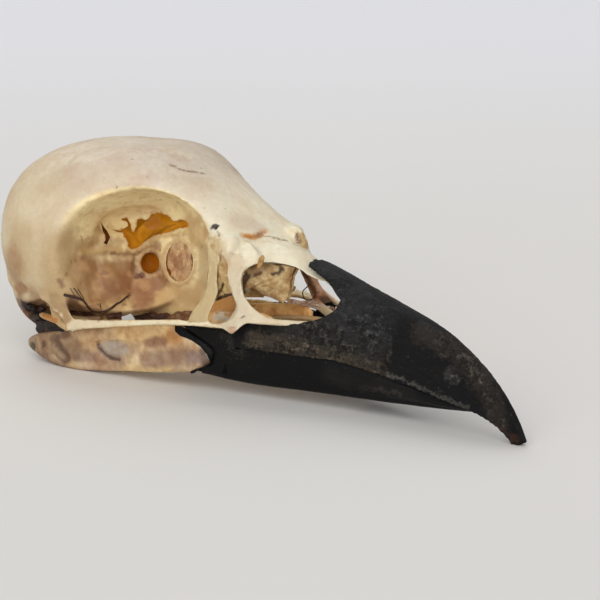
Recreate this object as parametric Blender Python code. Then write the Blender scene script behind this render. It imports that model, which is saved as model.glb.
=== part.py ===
# Skull of a magpie, life size, lying on a table on the angles of its jaw and the tip of its bill.
# Skull frame while modelling, in millimetres: X runs forward from the back of the head to the
# bill tip, Y to the bird's left, Z up from the table. Each finished piece is scaled to metres and
# moved so that the origin is on the table under the middle of the skull.

import math

import bmesh
import bpy
from mathutils import Vector

# Driving sizes, in millimetres.
MILLIMETRE = 0.001
SKULL_LENGTH = 79.7
BACK_OF_HEAD = -2.8
JOINT_GAP = 0.3
SEPTUM_HALF = 0.5
ORBIT_CENTRE = Vector((24.2, 10.5, 14.8))
ORBIT_RADII = Vector((10.2, 14.0, 9.2))
ORBIT_FLOOR_CENTRE = Vector((24.5, 7.0, 11.0))
ORBIT_FLOOR_RADII = Vector((7.2, 6.6, 4.9))

# Bones are fused and rounded on a grid of this size, in millimetres, and thinned to this many
# triangles.
BONE_GRID = 0.34
TRIANGLES = {"cranium": 4600, "upper_jaw": 1900, "mandible": 2600, "quadrate": 320}

# How many steps a body has from end to end, and how many points there are around it.
STEPS = {"braincase": 30, "forehead": 28, "bridge": 32, "ramus": 48, "throat": 20, "upper_bill": 36}
AROUND = {"braincase": 56, "forehead": 44, "bridge": 28, "ramus": 28, "blade": 16}

# Colour, roughness and metallic value of each material.
FINISHES = {
    "bone": ((0.86, 0.79, 0.66, 1.0), 0.55, 0.0),
    "jaw_bone": ((0.78, 0.66, 0.50, 1.0), 0.5, 0.0),
    "horn": ((0.035, 0.034, 0.036, 1.0), 0.45, 0.0),
    "dry_membrane": ((0.55, 0.41, 0.25, 1.0), 0.6, 0.0),
}

# Braincase from back to front: x, half width, height of the widest place, top, bottom.
BRAINCASE = (
    (-2.8, 1.5, 16.5, 18.4, 14.4),
    (-2.1, 6.4, 16.5, 21.6, 11.2),
    (-0.3, 10.5, 16.0, 24.4, 8.6),
    (2.4, 13.4, 15.4, 26.3, 6.8),
    (5.0, 14.7, 15.0, 27.3, 5.6),
    (8.0, 15.2, 14.6, 27.9, 4.9),
    (11.5, 15.2, 14.4, 28.2, 4.9),
    (15.0, 14.7, 14.4, 28.3, 5.3),
    (18.0, 13.4, 14.8, 28.0, 6.2),
    (21.0, 10.6, 15.2, 27.0, 8.0),
    (23.4, 7.0, 15.8, 24.8, 11.4),
    (24.6, 2.6, 16.0, 20.0, 13.4),
)

# Forehead over the orbits: x, half width, height at the midline, height at the rim.
FOREHEAD = (
    (12.0, 11.0, 27.8, 24.8),
    (16.0, 10.6, 28.2, 24.7),
    (20.0, 9.5, 27.9, 24.4),
    (24.0, 7.9, 26.8, 23.6),
    (28.0, 6.5, 24.8, 22.1),
    (31.5, 5.9, 22.6, 20.6),
    (34.0, 6.2, 20.9, 19.4),
    (36.0, 6.6, 19.6, 18.2),
    (37.3, 5.7, 18.9, 17.6),
)
FOREHEAD_DEPTH = 7.0

# Upper bill: ridge x and z, cutting edge x and z, half width there.
UPPER_BILL = (
    (36.0, 18.4, 36.0, 6.2, 8.3),
    (41.0, 17.7, 41.0, 6.3, 7.3),
    (45.0, 16.8, 45.0, 6.3, 6.4),
    (49.0, 15.8, 49.0, 6.4, 5.6),
    (53.0, 14.7, 53.0, 6.4, 4.8),
    (58.2, 13.4, 57.4, 5.7, 3.9),
    (63.1, 12.0, 61.8, 4.9, 3.1),
    (66.8, 10.4, 65.3, 4.1, 2.55),
    (69.9, 8.5, 68.4, 3.4, 2.0),
    (72.8, 6.2, 71.2, 2.7, 1.45),
    (74.9, 3.9, 73.2, 1.7, 1.0),
    (76.2, 1.9, 74.6, 0.6, 0.7),
    (76.9, 0.5, 75.4, -0.3, 0.5),
)
# The nasal bridge between the forehead and the core of the bill: x, half width, top, depth, and
# how much its sides droop.
BRIDGE = (
    (37.65, 5.5, 18.6, 2.0, 0.05),
    (39.6, 4.9, 18.1, 1.8, 0.06),
    (41.6, 4.1, 17.5, 1.5, 0.08),
    (43.2, 3.3, 17.0, 1.3, 0.1),
    (44.6, 2.5, 15.9, 0.9, 0.06),
    (47.0, 1.8, 15.2, 1.0, 0.06),
    (50.0, 2.0, 14.2, 1.8, 0.08),
    (53.0, 2.1, 13.1, 3.0, 0.1),
)
WALL_OF_HORN = 1.1
ROOF_OF_HORN = 0.65
NOSTRIL_FRONT = 51.0
CORE_FRONT = 60.0

# Lower bill: x, top, bottom, half width at the top, half width at the bottom.
LOWER_BILL = (
    (30.0, 8.1, 1.9, 9.3, 8.9),
    (34.0, 8.1, 2.0, 8.6, 8.1),
    (36.6, 8.2, 1.75, 8.0, 7.5),
    (38.4, 8.0, 1.65, 7.6, 7.0),
    (41.0, 5.75, 1.55, 6.8, 6.3),
    (47.0, 5.75, 1.7, 5.6, 5.0),
    (53.0, 5.75, 1.8, 4.5, 3.7),
    (58.0, 5.05, 1.9, 3.5, 2.7),
    (63.0, 4.3, 2.1, 2.5, 1.7),
    (66.5, 3.5, 2.35, 1.7, 1.0),
    (69.4, 2.9, 2.6, 0.6, 0.4),
)
CHIN_X = 52.0
CHIN_CORE_FRONT = 61.0
HORN_OF_JAW = 0.65
BONE_IN_HORN = 1.0
LOBE_GAP = 0.42  # from the line between bone and horn back to the bone, where the line is round

# Bony part of the lower jaw, one side: x, middle y, top, bottom, thickness.
RAMUS = (
    (4.7, 11.0, 2.5, 1.2, 0.9),
    (6.4, 11.3, 3.3, 0.9, 1.7),
    (8.4, 11.3, 3.9, 0.3, 2.3),
    (10.6, 11.3, 4.3, -0.15, 2.6),
    (13.0, 11.3, 4.5, -0.2, 2.4),
    (15.2, 11.2, 5.1, -0.1, 1.9),
    (18.0, 10.8, 6.0, 0.2, 1.5),
    (22.0, 10.1, 6.9, 0.7, 1.35),
    (27.0, 9.5, 7.6, 1.3, 1.35),
    (31.0, 8.7, 7.9, 1.8, 1.35),
    (34.0, 7.9, 7.8, 2.0, 1.35),
    (37.6, 7.1, 7.0, 1.8, 1.3),
)


# Curves through a few points
def blend(table, x):
    """Values of a table of rows at x, on a smooth curve through the rows."""
    rows = list(table)
    last = len(rows) - 1
    if x <= rows[0][0]:
        return rows[0][1:]
    if x >= rows[last][0]:
        return rows[last][1:]
    at = max(i for i in range(last) if rows[i][0] <= x)
    before, here, there, after = (rows[min(max(at + k, 0), last)] for k in (-1, 0, 1, 2))
    span = there[0] - here[0]
    t = (x - here[0]) / span
    values = []
    for column in range(1, len(here)):
        slope_in = (there[column] - before[column]) / (there[0] - before[0]) * span
        slope_out = (after[column] - here[column]) / (after[0] - here[0]) * span
        values.append(
            here[column] * (2 * t**3 - 3 * t**2 + 1)
            + slope_in * (t**3 - 2 * t**2 + t)
            + there[column] * (3 * t**2 - 2 * t**3)
            + slope_out * (t**3 - t**2)
        )
    return values


def smooth_path(points, steps):
    """Points on a smooth curve through the given points, with this many steps between two."""
    rows = [(float(i), *point) for i, point in enumerate(points)]
    count = (len(points) - 1) * steps
    return [Vector(blend(rows, i / steps)) for i in range(count + 1)]


def power(value, exponent):
    """A power that keeps the sign, for rounded-square rings."""
    return math.copysign(abs(value) ** exponent, value)


# Closed shapes
def new_object(name, bm):
    bmesh.ops.recalc_face_normals(bm, faces=bm.faces)
    mesh = bpy.data.meshes.new(name)
    bm.to_mesh(mesh)
    bm.free()
    obj = bpy.data.objects.new(name, mesh)
    bpy.context.scene.collection.objects.link(obj)
    return obj


def skin_rings(name, rings):
    """A closed body through rings of the same number of points, with a flat cap at each end."""
    bm = bmesh.new()
    loops = [[bm.verts.new(point) for point in ring] for ring in rings]
    for low, high in zip(loops, loops[1:]):
        for i in range(len(low)):
            j = (i + 1) % len(low)
            bm.faces.new((low[i], low[j], high[j], high[i]))
    bm.faces.new(loops[0])
    bm.faces.new(loops[-1])
    return new_object(name, bm)


def ellipsoid(centre, radii, turn=0.0, segments=40):
    """An ellipsoid, turned about Y by an angle in degrees."""
    bm = bmesh.new()
    bmesh.ops.create_uvsphere(bm, u_segments=segments, v_segments=segments // 2, radius=1.0)
    angle = math.radians(turn)
    for vert in bm.verts:
        x, y, z = (vert.co[i] * radii[i] for i in range(3))
        vert.co = (
            centre[0] + x * math.cos(angle) + z * math.sin(angle),
            centre[1] + y,
            centre[2] - x * math.sin(angle) + z * math.cos(angle),
        )
    return new_object("ellipsoid", bm)


def rod(points, sizes, steps=3, sides=14):
    """A rod along a smooth path, with a sideways and an upward radius at each given point."""
    path = smooth_path(points, steps)
    widths = smooth_path([Vector((a, b, 0.0)) for a, b in sizes], steps)
    rings = []
    for i, point in enumerate(path):
        ahead = path[min(i + 1, len(path) - 1)] - path[max(i - 1, 0)]
        ahead.normalize()
        across = ahead.cross(Vector((0.0, 0.0, 1.0)))
        if across.length < 0.2:
            across = Vector((0.0, 1.0, 0.0))
        across.normalize()
        upward = across.cross(ahead)
        rings.append(
            [
                point
                + across * (widths[i].x * math.cos(math.tau * k / sides))
                + upward * (widths[i].y * math.sin(math.tau * k / sides))
                for k in range(sides)
            ]
        )
    return skin_rings("rod", rings)


def blade(points, sizes, side):
    """A flat strut that faces sideways, with a half width and a half thickness at each point."""
    path = smooth_path(mirrored(points, side), 4)
    widths = smooth_path([Vector((a, b, 0.0)) for a, b in sizes], 4)
    sideways = Vector((0.0, 1.0, 0.0))
    rings = []
    for i, point in enumerate(path):
        ahead = path[min(i + 1, len(path) - 1)] - path[max(i - 1, 0)]
        ahead.normalize()
        out = (sideways - ahead * sideways.dot(ahead)).normalized()
        wide = ahead.cross(out)
        ring = []
        for k in range(AROUND["blade"]):
            angle = math.tau * k / AROUND["blade"]
            along = wide * (widths[i].x * math.cos(angle))
            ring.append(point + along + out * (widths[i].y * math.sin(angle)))
        rings.append(ring)
    return skin_rings("blade", rings)


def slab(outline, low, high, axis="y"):
    """A prism of an outline, between two places on the y axis or the x axis."""
    bm = bmesh.new()
    sides = []
    for place in (low, high):
        if axis == "y":
            corners = [(a, place, b) for a, b in outline]
        else:
            corners = [(place, a, b) for a, b in outline]
        sides.append([bm.verts.new(corner) for corner in corners])
    bm.faces.new(sides[0])
    bm.faces.new(sides[1])
    for i in range(len(outline)):
        j = (i + 1) % len(outline)
        bm.faces.new((sides[0][i], sides[0][j], sides[1][j], sides[1][i]))
    return new_object("slab", bm)


def rounded(outline, steps=5):
    """An outline with a smooth curve through its corners."""
    ring = list(outline)
    closed = [ring[-1], *ring, ring[0], ring[1]]
    rows = [(float(i), *corner) for i, corner in enumerate(closed)]
    return [tuple(blend(rows, 1 + i / steps)) for i in range(len(ring) * steps)]


def mirrored(points, side):
    """Points of the left side moved to side 1, the left, or -1, the right."""
    return [Vector((point[0], point[1] * side, point[2])) for point in points]


def below_the_table():
    """Everything under the table top, to give a piece that rests on it a small flat."""
    return slab(((-20.0, -9.0), (95.0, -9.0), (95.0, 0.0), (-20.0, 0.0)), -30.0, 30.0)


# Joining, cutting and smoothing
def combine(obj, others, operation):
    """Adds or cuts away the other objects, and removes them."""
    tools = bpy.data.collections.new("tools")
    bpy.context.scene.collection.children.link(tools)
    for other in others:
        tools.objects.link(other)
    boolean = obj.modifiers.new("combine", "BOOLEAN")
    boolean.operation = operation
    boolean.solver = "EXACT"
    boolean.operand_type = "COLLECTION"
    boolean.collection = tools
    if operation == "UNION":
        boolean.use_self = True
    apply_modifiers(obj)
    for other in others:
        bpy.data.objects.remove(other)
    bpy.data.collections.remove(tools)
    return obj


def apply_modifiers(obj):
    graph = bpy.context.evaluated_depsgraph_get()
    mesh = bpy.data.meshes.new_from_object(obj.evaluated_get(graph))
    obj.modifiers.clear()
    old = obj.data
    obj.data = mesh
    bpy.data.meshes.remove(old)


def volume_of(faces):
    total = 0.0
    for face in faces:
        first = face.verts[0].co
        for low, high in zip(face.verts[1:-1], face.verts[2:]):
            total += first.dot(low.co.cross(high.co))
    return total


def keep_largest(obj):
    """Leaves only the largest closed surface of a mesh."""
    bm = bmesh.new()
    bm.from_mesh(obj.data)
    unseen = set(bm.faces)
    bodies = []
    while unseen:
        queue = [unseen.pop()]
        body = list(queue)
        while queue:
            for edge in queue.pop().edges:
                for face in edge.link_faces:
                    if face in unseen:
                        unseen.remove(face)
                        queue.append(face)
                        body.append(face)
        bodies.append(body)
    bodies.sort(key=volume_of, reverse=True)
    scraps = [face for body in bodies[1:] for face in body]
    bmesh.ops.delete(bm, geom=scraps, context="FACES")
    bm.to_mesh(obj.data)
    bm.free()


def soften(obj, grid, rounds, triangles):
    """Fuses a body on a fine grid, rounds its edges and thins its faces to about this many."""
    remesh = obj.modifiers.new("fuse", "REMESH")
    remesh.mode = "VOXEL"
    remesh.voxel_size = grid
    smooth = obj.modifiers.new("round", "SMOOTH")
    smooth.factor = 0.5
    smooth.iterations = rounds
    apply_modifiers(obj)
    keep_largest(obj)
    obj.data.calc_loop_triangles()
    thin = obj.modifiers.new("thin", "DECIMATE")
    thin.ratio = min(1.0, triangles / len(obj.data.loop_triangles))
    thin.use_collapse_triangulate = True
    apply_modifiers(obj)
    keep_largest(obj)
    return obj


def finish(obj, name, finish_name):
    """Names a piece, gives it its material, and puts it in metres about the origin."""
    obj.name = name
    obj.data.name = name
    colour, roughness, metallic = FINISHES[finish_name]
    material = bpy.data.materials.get(finish_name)
    if material is None:
        material = bpy.data.materials.new(finish_name)
        material.use_nodes = True
        shader = material.node_tree.nodes["Principled BSDF"]
        shader.inputs["Base Color"].default_value = colour
        shader.inputs["Roughness"].default_value = roughness
        shader.inputs["Metallic"].default_value = metallic
    obj.data.materials.clear()
    obj.data.materials.append(material)
    middle = BACK_OF_HEAD + SKULL_LENGTH / 2
    for vert in obj.data.vertices:
        vert.co = (vert.co - Vector((middle, 0.0, 0.0))) * MILLIMETRE
    obj.data.shade_smooth()
    obj.data.set_sharp_from_angle(angle=math.radians(50.0))
    return obj


# Cranium
def braincase():
    """The round case of the brain, with its sections closer together at both ends."""
    rings = []
    first, last = BRAINCASE[0][0], BRAINCASE[-1][0]
    for i in range(STEPS["braincase"] + 1):
        share = 0.5 - 0.5 * math.cos(math.pi * i / STEPS["braincase"])
        x = first + (last - first) * share
        width, middle, top, bottom = blend(BRAINCASE, x)
        ring = []
        for k in range(AROUND["braincase"]):
            angle = math.tau * k / AROUND["braincase"]
            height = top - middle if math.sin(angle) > 0 else middle - bottom
            across = width * power(math.cos(angle), 0.87)
            ring.append(Vector((x, across, middle + height * power(math.sin(angle), 0.86))))
        rings.append(ring)
    return skin_rings("braincase", rings)


def forehead():
    """The roof over the orbits, from the crown down to the hinge of the bill."""
    rings = []
    first, last = FOREHEAD[0][0], FOREHEAD[-1][0]
    for i in range(STEPS["forehead"] + 1):
        x = first + (last - first) * i / STEPS["forehead"]
        width, top, rim = blend(FOREHEAD, x)
        ring = []
        for k in range(AROUND["forehead"]):
            angle = math.tau * k / AROUND["forehead"]
            across = power(math.cos(angle), 0.8)
            rise = top - rim if math.sin(angle) > 0 else FOREHEAD_DEPTH
            ring.append(Vector((x, width * across, rim + rise * power(math.sin(angle), 0.85))))
        rings.append(ring)
    return skin_rings("forehead", rings)


def orbit_cutters(side):
    """The space of one eye, flat where the wall between the eyes stands, and its low inner part."""
    spaces = [ellipsoid(ORBIT_CENTRE, ORBIT_RADII, segments=64)]
    spaces.append(ellipsoid(ORBIT_FLOOR_CENTRE, ORBIT_FLOOR_RADII, segments=40))
    for space in spaces:
        for vert in space.data.vertices:
            vert.co.y = max(vert.co.y, SEPTUM_HALF)
            vert.co.y *= side
        if side < 0:
            space.data.flip_normals()
    return spaces


def septum():
    """The thin wall between the eyes, with its thick lower edge."""
    low_edge = ((14.0, 6.5), (20.0, 6.5), (26.0, 7.0), (31.5, 8.3), (36.4, 11.0))
    outline = rounded((*low_edge, (36.8, 17.5), (28.0, 22.0), (16.0, 24.0)))
    return slab(outline, -SEPTUM_HALF, SEPTUM_HALF)


def antorbital_wall(side):
    """The upright wall in front of the eye, and the strut that goes down to the cheek bar."""
    outer_edge = ((5.8, 18.8), (6.8, 17.6), (6.5, 15.2), (5.8, 13.6))
    outline = rounded(((-0.5, 19.0), *outer_edge, (4.6, 13.0), (3.0, 12.2), (-0.5, 11.2)))
    wall = slab([(y * side, z) for y, z in outline], 34.6, 36.2, axis="x")
    strut = blade(
        ((35.3, 6.2, 18.4), (34.1, 6.1, 15.3), (33.4, 6.1, 12.5), (33.0, 7.0, 10.6), (33.5, 8.3, 9.7)),
        ((1.3, 0.8), (0.8, 0.65), (0.75, 0.5), (1.2, 0.5), (1.7, 0.45)),
        side,
    )
    return [wall, strut]


def side_processes(side):
    """The process behind the eye, the one before the ear, and the wing behind the ear."""
    behind_eye = blade(
        ((11.4, 12.7, 13.8), (12.0, 13.1, 11.2), (12.7, 13.3, 9.3), (13.6, 13.2, 8.0), (14.4, 13.0, 6.9)),
        ((3.6, 1.3), (2.7, 1.1), (1.9, 0.8), (1.0, 0.55), (0.4, 0.4)),
        side,
    )
    behind_ear = rod(
        mirrored(((4.6, 9.4, 10.0), (4.6, 9.6, 7.0), (5.2, 9.0, 4.4), (6.2, 8.4, 3.3)), side),
        ((2.4, 1.6), (1.9, 1.3), (1.4, 1.0), (0.7, 0.6)),
    )
    hinge_corner = ellipsoid((36.5, 5.5 * side, 17.5), (1.4, 1.6, 1.9))
    back_corner = ellipsoid((6.2, 9.4 * side, 10.2), (5.0, 3.8, 6.4))
    return [behind_eye, behind_ear, hinge_corner, back_corner]


def skull_base():
    """The plate under the braincase, the rod under the wall between the eyes, the neck knob and
    the low crests over the neck."""
    plate = ellipsoid((9.6, 0.0, 6.6), (6.0, 7.4, 2.7))
    rostrum = rod(
        ((13.0, 0.0, 5.2), (19.0, 0.0, 6.2), (26.0, 0.0, 7.2), (32.0, 0.0, 8.8), (36.5, 0.0, 11.4)),
        ((2.2, 1.2), (1.1, 0.95), (0.95, 0.9), (0.85, 0.85), (0.75, 0.75)),
    )
    condyle = ellipsoid((3.9, 0.0, 5.0), (1.2, 1.3, 1.1), segments=20)
    found = [plate, rostrum, condyle]
    for side in (1, -1):
        crest = mirrored(((-2.2, 0.0, 19.6), (-1.2, 6.0, 18.8), (1.6, 11.0, 14.6), (3.4, 12.4, 9.6)), side)
        found.append(rod(crest, ((0.7, 0.7), (0.7, 0.7), (0.8, 0.8), (0.8, 0.8))))
    return found


def cranium_cutters():
    """Openings of the cranium: neck, nerves of the eye, windows behind the eye, ears."""
    neck = ellipsoid((2.2, 0.0, 8.2), (3.6, 3.1, 2.9), turn=-35.0, segments=28)
    optic = ellipsoid((18.4, 0.0, 12.9), (1.5, 5.0, 1.6), segments=24)
    found = [neck, optic]
    for side in (1, -1):
        found.append(ellipsoid((17.6, 4.6 * side, 18.6), (4.4, 4.6, 1.9), turn=-14.0, segments=32))
        found.append(ellipsoid((9.3, 12.4 * side, 6.0), (4.6, 4.2, 2.4), turn=-10.0, segments=28))
        found += quadrate_pieces(side, 2 * JOINT_GAP)
    return found


def hinge_region(shift, far):
    """Everything on one side of the hinge between forehead and bill, from the line out to far."""
    line = ((37.5, 25.0), (37.5, 17.0), (36.2, 15.7), (36.2, 10.5))
    outline = [(x + shift, z) for x, z in line]
    return slab([*outline, (far, 10.5), (far, 25.0)], -14.0, 14.0)


def make_cranium():
    body = combine(braincase(), [forehead()], "UNION")
    combine(body, orbit_cutters(1) + orbit_cutters(-1), "DIFFERENCE")
    parts = [septum(), *skull_base()]
    for side in (1, -1):
        parts += antorbital_wall(side) + side_processes(side)
    combine(body, parts, "UNION")
    combine(body, [hinge_region(-JOINT_GAP / 2, 50.0), *cranium_cutters()], "DIFFERENCE")
    soften(body, BONE_GRID, 4, TRIANGLES["cranium"])
    return finish(body, "cranium", "bone")


# Upper bill
def bill_ring(row, inset=0.0, roof=0.0, drop=0.0, count=24):
    """A section of the upper bill: round at the ridge, a cutting edge at each side, and a
    hollow floor, or a flat one let down by the drop. The inset and the roof make it smaller."""
    ridge_x, ridge_z, edge_x, edge_z, width = row
    ridge = Vector((ridge_x, 0.0, ridge_z))
    edge = Vector((edge_x, 0.0, edge_z))
    up = (ridge - edge).normalized()
    height = (ridge - edge).length
    low = edge + up * inset
    high = edge + up * max(height - roof, inset + 0.2)
    half = max(width - inset, 0.15)
    ring = []
    for k in range(count + 1):
        angle = math.pi * k / count
        point = low.lerp(high, power(math.sin(angle), 1.1))
        ring.append(Vector((point.x, half * power(math.cos(angle), 0.88), point.z)))
    floor = 6
    for k in range(floor):
        if drop:
            t = k / (floor - 1)
            point = low - up * drop
        else:
            t = (k + 1) / (floor + 1)
            point = low + up * (0.15 * height * math.sin(math.pi * t))
        ring.append(Vector((point.x, -half + 2 * half * t, point.z)))
    return ring


def bill_body(name, first, last, count, inset=0.0, roof=0.0, drop=0.0):
    """The upper bill between two places on its cutting edge."""
    table = [(row[2], *row) for row in UPPER_BILL]
    rows = [blend(table, first + (last - first) * i / count) for i in range(count + 1)]
    return skin_rings(name, [bill_ring(row, inset, roof, drop) for row in rows])


def nostril_outline():
    """What the horn leaves open, seen from the side: the nostril, the bridge and all behind."""
    return (
        (30.0, 9.4),
        (40.0, 9.4),
        (41.6, 10.0),
        (44.0, 10.1),
        (47.2, 10.2),
        (49.4, 11.0),
        (NOSTRIL_FRONT, 12.7),
        (50.8, 13.5),
        (50.0, 14.4),
        (49.0, 15.0),
        (47.6, 15.5),
        (45.4, 16.3),
        (44.2, 17.2),
        (43.6, 21.0),
        (30.0, 24.0),
    )


def gape_outline():
    """What is cut from the back of the upper horn, seen from the side, over the lower bill."""
    return ((30.0, 3.0), (38.6, 3.0), (38.6, 7.0), (38.8, 8.0), (39.2, 8.8), (40.0, 9.4), (30.0, 14.0))


def make_upper_sheath():
    body = bill_body("upper_sheath", UPPER_BILL[0][2], UPPER_BILL[-1][2], STEPS["upper_bill"])
    trough = bill_body("trough", 33.0, NOSTRIL_FRONT, 16, WALL_OF_HORN, ROOF_OF_HORN, 6.0)
    socket = bill_body("socket", 46.0, CORE_FRONT, 12, WALL_OF_HORN, ROOF_OF_HORN)
    window = slab(nostril_outline(), -12.0, 12.0)
    gape = slab(gape_outline(), -12.0, 12.0)
    combine(body, [trough, socket, window, gape, below_the_table()], "DIFFERENCE")
    keep_largest(body)
    return finish(body, "upper_sheath", "horn")


def nasal_bridge():
    """The bar of bone from the forehead to the core of the bill, going under the horn."""
    rings = []
    first, last = BRIDGE[0][0], BRIDGE[-1][0]
    for i in range(STEPS["bridge"] + 1):
        x = first + (last - first) * i / STEPS["bridge"]
        width, top, depth, arch = blend(BRIDGE, x)
        ring = []
        for k in range(AROUND["bridge"]):
            angle = math.tau * k / AROUND["bridge"]
            across = width * power(math.cos(angle), 0.75)
            bow = arch * across**2
            height = top - depth / 2 + depth / 2 * power(math.sin(angle), 0.75)
            ring.append(Vector((x, across, height - bow)))
        rings.append(ring)
    return skin_rings("bridge", rings)


def cheek_strut(side):
    """The strut behind the nostril, and the shelf from its foot along the edge of the bill."""
    strut = blade(
        (
            (38.9, 3.8, 17.6),
            (37.9, 5.2, 16.4),
            (37.4, 5.7, 15.0),
            (37.8, 6.0, 13.4),
            (38.4, 6.3, 12.1),
            (39.0, 6.5, 11.2),
            (39.6, 6.6, 10.6),
        ),
        ((1.6, 0.9), (1.5, 0.8), (1.15, 0.6), (0.75, 0.5), (0.8, 0.5), (1.1, 0.5), (1.6, 0.4)),
        side,
    )
    foot = blade(
        ((39.0, 6.5, 11.2), (38.6, 7.0, 10.2), (38.1, 7.9, 9.4)),
        ((0.8, 0.45), (0.75, 0.45), (0.5, 0.4)),
        side,
    )
    line = ((39.4, 6.5, 10.6), (40.8, 5.2, 9.7), (45.0, 4.1, 8.8), (49.0, 3.2, 8.9), (52.4, 2.2, 9.7))
    sizes = ((0.5, 0.5), (0.5, 0.75), (0.5, 0.75), (0.55, 0.7), (0.7, 0.6))
    shelf = rod(mirrored(line, side), sizes)
    return [strut, foot, shelf]


def make_upper_jaw():
    body = nasal_bridge()
    front = CORE_FRONT - JOINT_GAP
    side_gap, roof_gap = WALL_OF_HORN + JOINT_GAP, ROOF_OF_HORN + JOINT_GAP
    core = bill_body("core", NOSTRIL_FRONT - 0.6, front, 14, side_gap, roof_gap)
    combine(body, [core, *cheek_strut(1), *cheek_strut(-1)], "UNION")
    combine(body, [hinge_region(JOINT_GAP / 2, 20.0)], "DIFFERENCE")
    soften(body, BONE_GRID, 2, TRIANGLES["upper_jaw"])
    return finish(body, "upper_jaw", "bone")


# Lower bill and jaw
def jaw_ring(x, inset=0.0):
    """A section of the lower bill: upright sides, a rounded underside, a crown between."""
    top, bottom, wide, narrow = blend(LOWER_BILL, x)
    top, bottom = top - inset, bottom + inset
    wide, narrow = wide - inset, narrow - inset
    bend = min(0.8, 0.3 * (top - bottom))
    half = [
        (wide, top),
        (wide * 0.8 + narrow * 0.2, top - (top - bottom) * 0.25),
        (wide * 0.45 + narrow * 0.55, top - (top - bottom) * 0.55),
        (narrow, bottom + bend),
        (narrow - bend * 0.3, bottom + bend * 0.3),
        (narrow - bend, bottom),
        (narrow * 0.4, bottom),
    ]
    half = [(max(y, 0.1), z) for y, z in half]
    rise = 0.25 if inset == 0.0 else 0.0
    crown = [(-wide * 0.6, top + rise), (wide * 0.6, top + rise)]
    ring = half + [(-y, z) for y, z in reversed(half)] + crown
    return [Vector((x, y, z)) for y, z in ring]


def jaw_body(name, first, last, count, inset=0.0):
    """The lower bill between two places, smaller all round by the inset."""
    return skin_rings(
        name, [jaw_ring(first + (last - first) * i / count, inset) for i in range(count + 1)]
    )


def between_jaws(name, thickness, last):
    """The open space between the two sides of the jaw, which are this thick."""
    rings = []
    first = LOWER_BILL[0][0] - 1.0
    for i in range(STEPS["throat"] + 1):
        x = first + (last - first) * i / STEPS["throat"]
        wide, narrow = blend(LOWER_BILL, x)[2:]
        room = max(wide - thickness, 0.6)
        low = max(narrow - thickness, 0.5)
        corners = ((room, 12.0), (low, -2.0), (-low, -2.0), (-room, 12.0))
        rings.append([Vector((x, y, z)) for y, z in corners])
    return skin_rings(name, rings)


def jaw_lobe_outline(shift):
    """Where bone ends and horn begins on the side of the jaw: a round lobe of bone."""
    lobe = (
        (30.4, 8.8),
        (31.6, 7.7),
        (33.6, 6.8),
        (35.2, 5.9),
        (35.9, 4.9),
        (35.4, 3.8),
        (33.8, 2.9),
        (32.2, 1.2),
    )
    return [(x + shift, z) for x, z in lobe]


def step_outline():
    """What is cut from the top of the lower horn, seen from the side, under the upper horn."""
    return ((38.2, 9.0), (38.25, 6.2), (38.9, 5.98), (53.0, 5.98), (53.0, 9.0))


def make_lower_sheath():
    body = jaw_body("lower", LOWER_BILL[0][0], LOWER_BILL[-1][0], 30)
    wall = HORN_OF_JAW + JOINT_GAP + BONE_IN_HORN
    throat = between_jaws("throat", wall, CHIN_X)
    socket = jaw_body("socket", LOWER_BILL[0][0] - 0.01, CHIN_CORE_FRONT, 16, HORN_OF_JAW)
    bone = slab([(20.0, 12.0), *jaw_lobe_outline(JOINT_GAP / 2), (20.0, -2.0)], -14.0, 14.0)
    step = slab(step_outline(), -12.0, 12.0)
    combine(body, [throat, socket, bone, step], "DIFFERENCE")
    keep_largest(body)
    return finish(body, "lower_sheath", "horn")


def ramus(side):
    """One side of the jaw behind the horn, with the knob that reaches in under the skull."""
    rings = []
    first, last = RAMUS[0][0], RAMUS[-1][0]
    for i in range(STEPS["ramus"] + 1):
        x = first + (last - first) * i / STEPS["ramus"]
        middle, top, bottom, thick = blend(RAMUS, x)
        height = (top - bottom) / 2
        ring = []
        for k in range(AROUND["ramus"]):
            angle = math.tau * k / AROUND["ramus"]
            across = middle + thick / 2 * power(math.cos(angle), 0.7)
            up = bottom + height + height * power(math.sin(angle), 0.75)
            ring.append(Vector((x, side * across, up)))
        rings.append(ring)
    inner_knob = rod(
        mirrored(((11.0, 10.6, 3.4), (10.2, 8.6, 3.6), (9.4, 7.2, 4.0)), side),
        ((1.6, 1.1), (1.0, 0.8), (0.5, 0.5)),
    )
    return [skin_rings("ramus", rings), inner_knob]


def horn_region():
    """The region that the horn covers on the side of the jaw."""
    return slab([(50.0, 12.0), *jaw_lobe_outline(-LOBE_GAP), (50.0, -2.0)], -14.0, 14.0)


def make_mandible():
    inset = HORN_OF_JAW + JOINT_GAP
    body = jaw_body("mandible", 31.5, CHIN_CORE_FRONT - JOINT_GAP, 26, inset)
    throat = between_jaws("throat", inset + BONE_IN_HORN, CHIN_X + 1.5)
    combine(body, [throat], "DIFFERENCE")
    for side in (1, -1):
        behind, knob = ramus(side)
        window = ellipsoid((20.6, 10.4 * side, 3.8), (2.5, 4.0, 1.2), turn=-9.0, segments=28)
        combine(behind, [horn_region(), window], "DIFFERENCE")
        combine(body, [behind, knob], "UNION")
    soften(body, BONE_GRID, 2, TRIANGLES["mandible"])
    combine(body, [below_the_table()], "DIFFERENCE")
    keep_largest(body)
    return finish(body, "mandible", "jaw_bone")


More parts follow.
